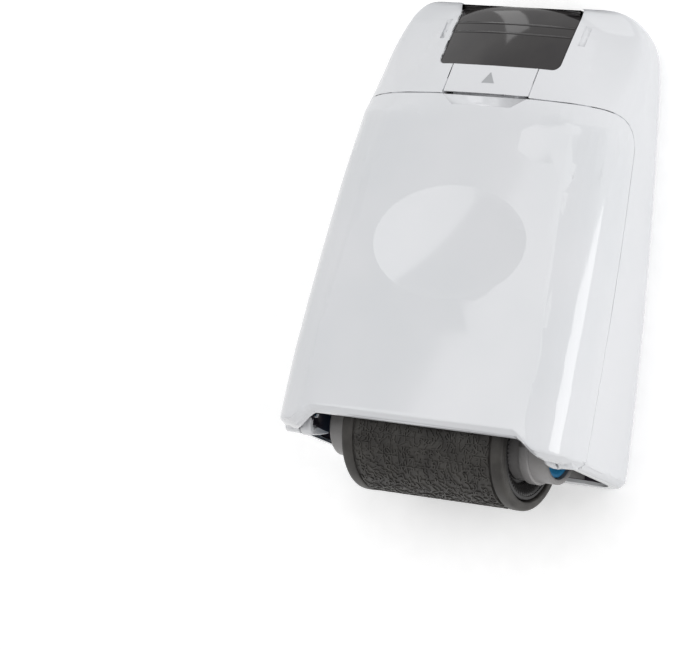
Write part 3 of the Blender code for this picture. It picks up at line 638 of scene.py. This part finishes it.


# %% [markdown]
# ## Shading of the shell
# Each corner of a face that lies on the form takes the form's own normal there, and a face of
# the dish takes the bowl's, so both shade smoothly while their rims stay crisp. Faces well
# below the outer form are the inside of a wall. They get the material with the painted shade,
# except on the white lip of the mouth and on the cover's walls beside the hinge.

# %% Shading of the shell
dish_edge_share = 0.99
dish_facing = 0.9
inward_facing = -0.4
hinge_side_start = 24 * mm
hinge_side_length = 14 * mm
inside_depth = 1.2 * mm
deep_inside = 2.8 * mm


def bowl_normals(local):
    """Normals of the bowl: its slope is twice its depth times the way out, over half squared."""
    slope = local[:, :2] * 2 * dish_depth / dish_half**2
    normal = front_axes[2] - slope @ front_axes[:2]
    return normal / np.linalg.norm(normal, axis=1, keepdims=True)


def inner_faces(node, places, station, depth, agreement, corner_vertex):
    """True for the triangles that get the painted shade of the inside."""

    def mean(values):
        return values[corner_vertex].reshape(-1, 3).mean(axis=1)

    middle_depth = mean(depth)
    inwards = agreement.reshape(-1, 3).mean(axis=1) < inward_facing
    buried = (inwards & (middle_depth > inside_depth)) | (middle_depth > deep_inside)
    behind = mean(station) > bottom + white_lip
    x, y = np.abs(mean(places[:, 0])), np.abs(mean(places[:, 1]))
    beside_hinge = (x > hinge_side_start) & (y > -bottom - hinge_side_length)
    return buried & behind & ~(beside_hinge & (node == "front_cover"))


def shell_piece(node, slot):
    mesh = sliced(node)
    made = show(mesh, node + "_shown", body_of[node], slot, 35, node)
    mesh.materials.append(looks["inside"])
    places = read_rows(mesh.vertices, "co")
    sample, depth, share, local, bowl, on_form = set_on_form(node, places)
    station = places[:, 1] - mouth_slope * places[:, 2]
    if slot == "shell_white":
        places = draw_down(places, depth)
    places = np.clip(places, *solid_corners)
    mesh.vertices.foreach_set("co", places.ravel())
    mesh.update()
    corner_vertex = np.empty(len(mesh.loops), dtype=np.int32)
    mesh.loops.foreach_get("vertex_index", corner_vertex)
    own = read_rows(mesh.corner_normals, "vector")
    facing = np.repeat(read_rows(mesh.polygons, "normal"), 3, axis=0)
    wanted = bent_directions[sample[corner_vertex]]
    agreement = (facing * wanted).sum(axis=-1)

    def whole(chosen):
        """Corners of the triangles whose three points are all chosen."""
        return np.repeat(chosen[corner_vertex].reshape(-1, 3).all(axis=1), 3)

    outside_dish = whole(on_form & (share > dish_edge_share))
    dished = whole(bowl) & ~outside_dish & (facing @ front_axes[2] > dish_facing)
    follows = (agreement > math.cos(follow_angle)) & whole(on_form) & ~dished
    chosen = np.where(follows[:, None], wanted, own)
    chosen = np.where(dished[:, None], bowl_normals(local)[corner_vertex], chosen)
    mesh.normals_split_custom_set(chosen.tolist())
    if slot == "shell_white":
        # Faces inside the walls take the second material, which carries the painted shade.
        dark = inner_faces(node, places, station, depth, agreement, corner_vertex)
        mesh.polygons.foreach_set("material_index", dark.astype(np.int32))
    print(node, "triangles", len(mesh.polygons), "on the form", int(follows.sum() / 3))
    return made


for node in ("rear_housing", "front_cover", "latch_tab", "top_knob"):
    shell_piece(node, slot_of[node])

# %% [markdown]
# ## Skins of the top end
# The knob's face and the shell beside it curve over the top end, where the solids are coarsest
# and the housing's solid has a narrow slit on each side. Thin skins cover them there. The
# knob's face runs up the front, over the tip and down the back, a third of a millimetre below
# the shell, with only a dark gap round it.

# %% Skins of the top end
knob_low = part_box("top_knob")[0].y
knob_overlap = 0.02 * mm
knob_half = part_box("top_knob")[1].x + knob_overlap
knob_back_length = 7.6 * mm
knob_back_low = top - knob_back_length
knob_corner = 1.6 * mm
face_depth = 0.35 * mm
face_thickness = 1.3 * mm
tip_skin_length = 4.0 * mm
tip_skin_rise = 0.03 * mm
tip_skin_thickness = 0.35 * mm
tip_skin_share = 0.8
tip_skin_power = 1.7
tip_skin_end_share = 0.999
tip_skin_rows = 26
tip_skin_columns = 90
window_half = 15.7 * mm
ring_steps = 120
knob_columns = 37
knob_rise_rows = 60
knob_corner_rows = 8
knob_back_rows = 25


def closed_sheets(outer, inner):
    """Faces of two grids of one size, joined by walls round all four edges."""
    rows, columns = outer.shape[:2]
    sheet = grid_faces(rows, columns)
    count = rows * columns
    index = np.arange(count).reshape(rows, columns)
    rim = np.concatenate([index[0, :-1], index[:-1, -1], index[-1, :0:-1], index[:0:-1, 0]])
    after = np.roll(rim, -1)
    wall = np.stack([rim, after, after + count, rim + count], axis=-1)
    points = np.concatenate([outer.reshape(-1, 3), inner.reshape(-1, 3)])
    return points, np.concatenate([sheet[:, ::-1], sheet + count, wall])


def front_at(y, x):
    """Height of the front at each y for that row's x values, read off the form's rings."""
    rings = shell_form(y, ring_steps)[:, 2 * ring_steps :]
    return np.stack([np.interp(np.abs(xs), ring[::-1, 0], ring[::-1, 2]) for xs, ring in zip(x, rings)])


def knob_face():
    """Rows go up the front, over the tip and down the back, and the first ones narrow at the corners.

    The sheet is the form moved inwards, square to the middle line's run over the top.
    """
    straight = 1 - np.linspace(1, 0, knob_rise_rows) ** 2
    rise = np.concatenate([np.linspace(0, 1, knob_corner_rows + 1)[:-1] * knob_corner,
                           knob_corner + (top - knob_low - knob_corner) * straight])
    up = knob_low + rise
    down = top - (top - knob_back_low) * np.linspace(0, 1, knob_back_rows + 1)[1:] ** 2
    curl = np.clip(knob_corner - (up - knob_low), 0, None)
    half = np.concatenate([knob_half - knob_corner + np.sqrt(knob_corner**2 - curl**2),
                           np.full(len(down), knob_half)])
    x = half[:, None] * np.linspace(-1, 1, knob_columns)[None, :]
    front = front_at(up, x[: len(up)])
    back = tip_height * (1 - closing(down, back_crown_length, back_crown_power))
    z = np.concatenate([front, back[:, None] + 0 * x[len(up) :]])
    y = np.concatenate([up, down])[:, None] + 0 * x
    middle = knob_columns // 2
    run = np.stack([np.gradient(y[:, middle]), np.gradient(z[:, middle])], axis=-1)[:, None]
    run = run / np.linalg.norm(run, axis=-1, keepdims=True)
    sheets = [np.stack([x, y + run[..., 1] * d, z - run[..., 0] * d], axis=-1)
              for d in (face_depth, face_depth + face_thickness)]
    points, faces = closed_sheets(*sheets)
    return piece("knob_face", points, faces, "carriage", "knob_dark", angle=40)


def tip_skin(side):
    """The shell's last rings beside the slot, from its edge on the back round to that on the front."""
    left = 1 - np.linspace(0, tip_skin_end_share, tip_skin_rows)
    stations = top - tip_skin_length * left**tip_skin_power
    share = np.linspace(0, 1, tip_skin_columns)
    rows = []
    for ring in shell_form(stations, ring_steps):
        kept = ring[ring[:, 0] >= window_half]
        length = np.concatenate([[0], np.cumsum(np.linalg.norm(np.diff(kept, axis=0), axis=1))])
        rows.append(np.stack([np.interp(share * length[-1], length, kept[:, k]) for k in range(3)], axis=-1))
    outer = np.stack(rows)
    middle = (outer[:, :1] + outer[:, -1:]) / 2
    way = outer - middle
    reach = np.maximum(np.linalg.norm(way, axis=-1, keepdims=True), 1e-9)
    inner = outer - way * np.minimum(tip_skin_thickness / reach, tip_skin_share)
    outer = outer + way / reach * tip_skin_rise
    flip = np.array((side, 1, 1))
    points, faces = closed_sheets(outer * flip, inner * flip)
    name = "tip_skin_right" if side > 0 else "tip_skin_left"
    return piece(name, points, faces, "housing", "shell_white", angle=40)


knob_face()
for side in (1, -1):
    tip_skin(side)

# %% [markdown]
# ## Turned pieces
# A roller, a cap and a hub are each a profile carried round an axis. The profile is a list of
# corners, and most of them are rounded or bevelled a little, as a mould or a lathe leaves them,
# because a perfectly sharp edge never catches the light.

# %% Turned pieces
side_share = 0.45


def rounded(corners, radius, steps=4):
    """Rounds each corner of a closed outline by a curve that starts and ends a radius away."""
    corners = np.asarray(corners, dtype=float)
    radius = np.broadcast_to(radius, (len(corners),))[:, None]
    before = np.roll(corners, 1, axis=0) - corners
    after = np.roll(corners, -1, axis=0) - corners
    reach_before = np.linalg.norm(before, axis=1, keepdims=True)
    reach_after = np.linalg.norm(after, axis=1, keepdims=True)
    start = corners + before * np.minimum(radius / reach_before, side_share)
    end = corners + after * np.minimum(radius / reach_after, side_share)
    t = np.linspace(0, 1, steps + 1)[None, :, None]
    curve = (1 - t) ** 2 * start[:, None] + 2 * t * (1 - t) * corners[:, None] + t**2 * end[:, None]
    return curve.reshape(-1, 2)


def turned(profile, y, z, steps):
    """Grid of a closed profile of (x, radius) points carried round the line along X at y and z."""
    angle = np.linspace(0, 2 * math.pi, steps, endpoint=False)[None, :]
    x = profile[:, :1] + 0 * angle
    radius = profile[:, 1:]
    points = np.stack([x, y + radius * np.cos(angle), z + radius * np.sin(angle)], axis=-1)
    return points, grid_faces(len(profile), steps, True, True)


roller_radius = (roller_high.z - roller_low.z) / 2
roller_end = roller_high.x
stroke_height = 0.35 * mm
band_width = 3 * mm
groove_width = 0.6 * mm
groove_depth = 0.4 * mm
sleeve_thickness = 2.2 * mm
field_radius = roller_radius - stroke_height
band_start = roller_end - band_width
field_end = band_start - groove_width
sleeve_bore = roller_radius - sleeve_thickness


def sleeve_profile():
    half = [(field_end, field_radius), (field_end, field_radius - groove_depth),
            (band_start, field_radius - groove_depth), (band_start, roller_radius),
            (roller_end, roller_radius), (roller_end, sleeve_bore)]
    other = [(-x, r) for x, r in reversed(half)]
    rounding = np.array((0.3, 0.2, 0.3, 0.6, 1.2, 0.5)) * mm
    return rounded(other + half, np.concatenate([rounding[::-1], rounding]), 6)


sleeve_grid, sleeve_faces = turned(sleeve_profile(), roller_y, roller_z, 192)
piece("rubber_sleeve", sleeve_grid, sleeve_faces, "stamp_roller", "stamp_rubber", "stamp_sleeve")
print("sleeve:", round(roller_end / mm * 2, 1), "mm long,", round(roller_radius / mm * 2, 1), "mm thick")

# %% [markdown]
# ## The jumble on the roller
# What hides the print is a close field of raised strokes. The layout here is its own: in each
# cell four strokes run between points of a three by three lattice, some straight and some bent,
# drawn by a seeded random generator. They look like letters on top of one another and spell
# nothing. Each stroke is a small ramp-sided bar that follows the drum.

# %% The jumble on the roller
cells_across = 18
cells_round = 38
strokes_per_cell = 4
stroke_top = 0.24 * mm
stroke_foot = 0.38 * mm
glyph_share = 0.82
lattice = 3
bend_share = 0.6
jumble_top = roller_radius - 0.07 * mm
jumble_foot = field_radius - 0.1 * mm
stroke_steps = 4
draw = np.random.default_rng(11)


def stroke_lines():
    """Middle lines of all strokes, as cell coordinates from 0 to 1.

    Each line is a quadratic curve: its ends are two different lattice points, and its middle
    point is pulled aside by a random amount, which is nothing for about half of them.
    """
    count = cells_across * cells_round * strokes_per_cell
    points = lattice**2
    first = draw.integers(0, points, count)
    second = (first + draw.integers(1, points, count)) % points
    start = np.stack([first % lattice, first // lattice], axis=-1) / (lattice - 1)
    end = np.stack([second % lattice, second // lattice], axis=-1) / (lattice - 1)
    pull = draw.choice((0, 0, -bend_share, bend_share), count)[:, None]
    side = (end - start)[:, ::-1] * np.array((-1, 1))
    middle = (start + end) / 2 + side * pull
    t = np.linspace(0, 1, stroke_steps)[None, :, None]
    line = (1 - t) ** 2 * start[:, None] + 2 * t * (1 - t) * middle[:, None] + t**2 * end[:, None]
    return np.clip(line, 0, 1)


def jumble():
    """Bars round all the lines: four edges per step, at the line plus or minus half a width."""
    lines = stroke_lines()
    cell = np.repeat(np.arange(cells_across * cells_round), strokes_per_cell)
    pitch_x = 2 * field_end / cells_across
    pitch_round = 2 * math.pi * field_radius / cells_round
    margin = (1 - glyph_share) / 2
    u = ((cell % cells_across)[:, None] + margin + lines[..., 0] * glyph_share) * pitch_x - field_end
    v = ((cell // cells_across)[:, None] + margin + lines[..., 1] * glyph_share) * pitch_round
    path = np.stack([u, v], axis=-1)
    way = np.gradient(path, axis=1)
    way = way / np.linalg.norm(way, axis=-1, keepdims=True)
    path[:, 0] -= way[:, 0] * stroke_top / 2
    path[:, -1] += way[:, -1] * stroke_top / 2
    side = way[..., ::-1] * np.array((-1, 1))
    halves = np.array((-stroke_foot, -stroke_top, stroke_top, stroke_foot)) / 2
    radii = np.array((jumble_foot, jumble_top, jumble_top, jumble_foot))
    edge = path[:, :, None, :] + side[:, :, None, :] * halves[None, None, :, None]
    angle = edge[..., 1] / field_radius
    x = np.clip(edge[..., 0], -field_end, field_end)
    points = np.stack([x, roller_y + radii * np.cos(angle), roller_z + radii * np.sin(angle)], axis=-1)
    bar = grid_faces(stroke_steps, 4, False, True)
    last = (stroke_steps - 1) * 4
    ends = np.array(((0, 3, 2, 1), (last, last + 1, last + 2, last + 3)))
    one = np.concatenate([bar, ends])
    faces = (one[None] + np.arange(len(lines))[:, None, None] * stroke_steps * 4).reshape(-1, 4)
    return points, faces


jumble_points, jumble_faces = jumble()
piece("raised_jumble", jumble_points, jumble_faces, "stamp_roller", "stamp_rubber", angle=50)
print("jumble:", len(jumble_points), "strokes,", 2 * len(jumble_faces), "triangles")

# %% [markdown]
# ## Ribbed end rings
# A black ring closes each end of the drum. Its end is a cone that runs inwards from the rim,
# and fine ribs stand on the cone about a millimetre apart, as on a bevel gear. The ring is one
# sheet: its profile is carried round, and on the cone it is lifted where a rib passes.

# %% Ribbed end rings
rib_count = 66
rib_height = 0.55 * mm
ring_rim = 0.8 * mm
ring_web = 1.2 * mm
cone_end = 8.1 * mm
ring_clearance = 0.3 * mm
ring_bevel = 0.2 * mm
ring_steps_per_rib = 8
rib_ramp = 6
rib_flank = 7
rib_crest = 2.2
rib_middle = 10 * mm


def one_side(stem, side):
    """The node's name on one side, half its height, and where it starts and ends from the middle."""
    name = stem + ("_right" if side > 0 else "_left")
    low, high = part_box(name)
    inner, outer = sorted((abs(low.x), abs(high.x)))
    return name, (high.z - low.z) / 2, inner, outer


def ribbed_ring(side):
    """A ring whose cone is lifted by the ribs: a rib's flanks rise over a seventh of its pitch."""
    name, rim, inner, outer = one_side("toothed_ring", side)
    root = rim - ring_rim
    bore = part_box("bush_right")[1].z - roller_z + ring_clearance
    edge = ring_bevel
    floor = inner + ring_web
    share = np.linspace(0, 1, 9)
    cone_run = floor - outer + edge
    cone = np.stack([outer - edge + cone_run * share, root + (cone_end - root) * share], axis=-1)
    along_rib = np.clip(rib_ramp * share, 0, 1) * np.clip(rib_ramp - rib_ramp * share, 0, 1)
    lift = np.concatenate([np.zeros(6), along_rib, [0]])
    levels = [(inner, bore), (inner, rim - edge), (inner + edge, rim), (outer - edge, rim),
              (outer, rim - edge), (outer, root)]
    profile = np.concatenate([levels, cone, [(floor, bore)]])
    slope = np.array((root - cone_end, -cone_run))
    square = slope / np.linalg.norm(slope)
    steps = rib_count * ring_steps_per_rib
    phase = np.arange(steps) / ring_steps_per_rib % 1
    across_rib = np.clip(rib_crest - np.abs(phase - 0.5) * rib_flank, 0, 1)
    rib = across_rib[None, :] * lift[:, None] * rib_height
    angle = 2 * math.pi * np.arange(steps)[None, :] / steps
    x = side * (profile[:, :1] + rib * square[0])
    radius = profile[:, 1:] - rib * abs(square[1])
    points = np.stack([x + 0 * angle, roller_y + radius * np.cos(angle), roller_z + radius * np.sin(angle)],
                      axis=-1)
    faces = grid_faces(len(profile), steps, True, True)
    return piece("ribbed_" + name, points, faces, "stamp_roller", "drum_black", name, angle=30)


for side in (1, -1):
    ribbed_ring(side)
print("ribs are", round(2 * math.pi * rib_middle / mm / rib_count, 2), "mm apart")

# %% [markdown]
# ## Blue hub caps
# The cap is a shallow dish with a bevelled rim, pressed into the end of the hub. Its hollow
# follows a parabola, so the light runs round it as a soft crescent.

# %% Blue hub caps
hollow_share = 0.85
hollow_depth = 0.9 * mm
cap_land = 0.15 * mm
cap_bevel = 0.2 * mm


def hub_cap(side):
    """The hollow's depth falls off with the square of the way out to the rim."""
    name, radius, inner, outer = one_side("hub_cap", side)
    dish = hollow_share * radius
    share = np.linspace(0, 1, 14)
    hollow = np.stack([outer - hollow_depth * (1 - share**2), dish * share], axis=-1)
    rim = np.array([(outer, dish + cap_land), (outer, radius - cap_bevel), (outer - cap_bevel, radius),
                    (inner, radius), (inner, 0)])
    profile = np.concatenate([hollow, rim]) * np.array((side, 1))
    points, faces = turned(profile, roller_y, roller_z, 72)
    return piece("dished_" + name, points, faces, body_of[name], "cap_blue", name, angle=30)


for side in (1, -1):
    hub_cap(side)

# %% [markdown]
# ## Hubs
# Each side plate carries a round hub with a collar and a seat for the cap. The solid's hub has
# flat facets, so a turned sleeve lies a few hundredths of a millimetre over it. It shades
# smoothly and gives the hub a rounded rim.

# %% Hubs
hub_radius = 7.4 * mm
hub_skin = 0.03 * mm
collar_radius = 8.0 * mm
collar_start = 21.6 * mm
collar_end = 23.6 * mm
seat_radius = 6.2 * mm


def turned_hub(side):
    """The hub's section, a skin's thickness larger all round, with a collar near its inner end."""
    name, _, inner, outer = one_side("cartridge_side", side)
    inner, outer = inner - hub_skin, outer + hub_skin
    first, last = collar_start - hub_skin, collar_end + hub_skin
    seat, hub, collar = seat_radius - hub_skin, hub_radius + hub_skin, collar_radius + hub_skin
    outline = [(inner, seat), (inner, hub), (first, hub), (first, collar),
               (last, collar), (last, hub), (outer, hub), (outer, seat)]
    bends = np.array((0.02, 0.1, 0.02, 0.12, 0.12, 0.02, 0.45, 0.25)) * mm
    profile = rounded(np.array(outline) * np.array((side, 1)), bends, 6)
    points, faces = turned(profile, roller_y, roller_z, 96)
    return piece("hub_sleeve_right" if side > 0 else "hub_sleeve_left", points, faces, body_of[name],
                 "frame_grey")


for side in (1, -1):
    turned_hub(side)

# %% [markdown]
# ## Ink roller, flanges and bushes
# These sit inside, and show through the open foot and when the cover is swung away. Each is a
# turned piece again, with its length and radius read from the solid that it stands for.

# %% Ink roller, flanges and bushes
def turned_copy(node, bore, rounding, steps):
    """A tube as long and as thick as a solid, with the given bore and rounded edges."""
    low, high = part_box(node)
    y = (low.y + high.y) / 2
    z = (low.z + high.z) / 2
    outer = (high.z - low.z) / 2
    outline = [(low.x, bore), (low.x, outer), (high.x, outer), (high.x, bore)]
    points, faces = turned(rounded(outline, rounding), y, z, steps)
    return piece("turned_" + node, points, faces, body_of[node], slot_of[node], node)


axle_bore = 2.3 * mm
ink_bore = 1.9 * mm
core_clearance = 0.3 * mm
core_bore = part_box("ink_core")[1].z - roller_z + core_clearance
turned_copy("ink_foam", core_bore, 0.8 * mm, 96)
turned_copy("ink_core", ink_bore, 0.2 * mm, 64)
for side in ("left", "right"):
    turned_copy("ink_flange_" + side, core_bore, 0.2 * mm, 64)
    turned_copy("bush_" + side, axle_bore, 0.2 * mm, 64)

# %% [markdown]
# ## Other solids
# Frame, carriage, hood, drum, axles, screws and pins have their true shape already. Each is
# shown as a copy of its solid with the triangles joined, so that its round faces shade smoothly.
# The latch spring is squeezed when the tab is pressed, so the solid itself is shown, in steel.

# %% Other solids
for node in ("carriage", "cartridge_side_left", "cartridge_side_right", "cartridge_hood", "drum_core",
             "stamp_axle", "ink_axle", "cover_pin_left", "cover_pin_right", "latch_pin",
             "knob_screw_left", "knob_screw_right"):
    show(merged_copy(node), node + "_shown", body_of[node], slot_of[node], 35, node)
frame["nodes"]["latch_spring"].data.materials.clear()
frame["nodes"]["latch_spring"].data.materials.append(looks["steel"])

# %% [markdown]
# ## Marks on the front
# A small grey arrowhead on the tab points at the knob, and two low ribs across the knob give the
# thumb its grip. Both follow the front of the shell: their height at each place is worked out
# from that of the form.

# %% Marks on the front
def front_height(x, y):
    """Height of the outer form on the front at each x and y, nearer the middle than the ridge."""
    plane = shell_depth - front_slope * (y - roller_y)
    crest = tip_height + (plane - tip_height) * closing(y, crown_length, crown_power)
    along = np.clip((y - top + arch_from_top) / arch_length, 0, 1)
    return crest - arch_drop * (1 - (1 - along) ** 2) * (x / arch_reach) ** 2


def raised_patch(name, x, y, below, above, body, slot):
    """A grid laid on the front: a top sheet, and a foot under the surface all round."""
    surface = front_height(x, y)
    top_sheet = np.stack([x, y, surface + above], axis=-1)
    foot = np.stack([x, y, surface - below], axis=-1)
    points, faces = closed_sheets(top_sheet, foot)
    return piece(name, points, faces, body, slot, angle=30)


arrow_foot = 33.75 * mm
arrow_sink = 0.2 * mm
arrow_rise = 0.05 * mm
arrow_end_share = 0.97
arrow_length = 2.6 * mm
arrow_half_width = 1.6 * mm


def arrow():
    share = np.linspace(0, arrow_end_share, 9)[:, None]
    x = np.linspace(-1, 1, 9)[None, :] * arrow_half_width * (1 - share)
    y = arrow_foot + arrow_length * share + 0 * x
    return raised_patch("arrow_mark", x, y, arrow_sink, arrow_rise, "latch_tab", "print")


rib_places = (48.45 * mm, 46.15 * mm)
rib_half_width = 15.2 * mm
rib_width = 0.5 * mm
rib_rise = 0.16 * mm
rib_sink = 0.3 * mm
rib_edge = 0.02 * mm


def knob_rib(number, middle):
    across = np.linspace(-0.5, 0.5, 7)[:, None]
    x = np.linspace(-rib_half_width, rib_half_width, 41)[None, :] + 0 * across
    y = middle + across * rib_width + 0 * x
    bulge = rib_rise * (1 - (2 * across) ** 2) - rib_edge + 0 * x
    return raised_patch("knob_rib_" + str(number), x, y, face_depth + rib_sink, bulge - face_depth,
                        "carriage", "knob_dark")


arrow()
for number, place in enumerate(rib_places):
    knob_rib(number + 1, place)

# %% [markdown]
# ## Floor
# The photograph has a plain white ground with a soft shadow. A white floor under plain light
# comes out a little under white, so a trace of glow that only the camera, reflections and
# refractions see lifts it to white, while the shadow stays.

# %% Floor
def seen_directly(tree):
    """1 for camera, reflected and refracted rays, and 0 for the light that falls on things."""
    path = add(tree, "LightPath").outputs
    seen = add(tree, "Math", {0: path["Is Camera Ray"], 1: path["Is Glossy Ray"]}, operation="MAXIMUM")
    inputs = {0: seen.outputs[0], 1: path["Is Transmission Ray"]}
    return add(tree, "Math", inputs, operation="MAXIMUM").outputs[0]


def white_card():
    made, tree, shader, place = new_material("white_card", Roughness=0.9)
    paper = vary(tree, place, 4, "#f6f6f6", "#fafafa")
    tree.links.new(paper, shader.inputs["Base Color"])
    strength = spread(tree, seen_directly(tree), 0, 0.3)
    glow = add(tree, "Emission", {"Strength": strength})
    both = add(tree, "AddShader", {0: shader.outputs[0], 1: glow.outputs[0]})
    tree.links.new(both.outputs[0], tree.nodes["Material Output"].inputs["Surface"])
    return made


floor_drop = 0.2 * mm
floor_reach = 3.0
floor_grid = np.linspace(-floor_reach, floor_reach, 3)
floor_x, floor_y = np.meshgrid(floor_grid, floor_grid)
floor_mesh = bpy.data.meshes.new("floor")
floor_points = np.stack([floor_x, floor_y, 0 * floor_x - floor_drop], axis=-1).reshape(-1, 3)
floor_mesh.from_pydata(floor_points.tolist(), [], grid_faces(3, 3).tolist())
floor_mesh.materials.append(white_card())
floor = bpy.data.objects.new("floor", floor_mesh)
bpy.context.scene.collection.objects.link(floor)

# %% [markdown]
# ## Light
# A product shot like this has one broad soft light over the object, a second one from the side
# that the right flank faces, a faint strip low behind the top end, and white all round. The
# world gives the white. Only the camera and reflections see it at full strength, and they see
# it darker overhead, where the broad light hangs.

# %% Light
def studio_world(strength, ceiling):
    """White all round, and darker overhead, where the broad light hangs."""
    world = bpy.data.worlds.new("studio")
    bpy.context.scene.world = world
    world.use_nodes = True
    tree = world.node_tree
    ground = tree.nodes["Background"]
    way = add(tree, "SeparateXYZ", {"Vector": add(tree, "TexCoord").outputs["Generated"]})
    inputs = {"Value": way.outputs["Z"], "From Min": 0.35, "From Max": 0.7, "To Min": 1, "To Max": ceiling}
    shown = add(tree, "MapRange", inputs).outputs["Result"]
    tree.links.new(spread(tree, seen_directly(tree), strength, shown), ground.inputs["Strength"])
    ground.inputs["Color"].default_value = linear("#ffffff")


def soft_box(name, place, size, power, turn=0):
    """A rectangular lamp at a place, facing the object and turned about that line."""
    data = bpy.data.lights.new(name, "AREA")
    data.shape = "RECTANGLE"
    data.size, data.size_y = size
    data.energy = power
    made = bpy.data.objects.new(name, data)
    made.location = place
    made.rotation_mode = "QUATERNION"
    away = Vector(place).normalized()
    across = Vector((0, 1, 0)).cross(away).normalized()
    facing = Matrix((across, away.cross(across), away)).transposed().to_quaternion()
    made.rotation_quaternion = facing @ Quaternion((0, 0, 1), math.radians(turn))
    bpy.context.scene.collection.objects.link(made)


studio_world(0.57, 0.25)
soft_box("overhead", (-0.275, 0.31, 0.949), (0.5, 1.2), 2.6, -12)
soft_box("from_the_right", (0.9, 0.1, 0.45), (0.6, 0.6), 3.4)
soft_box("behind_the_top", (-0.52, 0.9, 0.14), (0.7, 0.16), 0.6)
bpy.context.scene.view_settings.view_transform = "Standard"
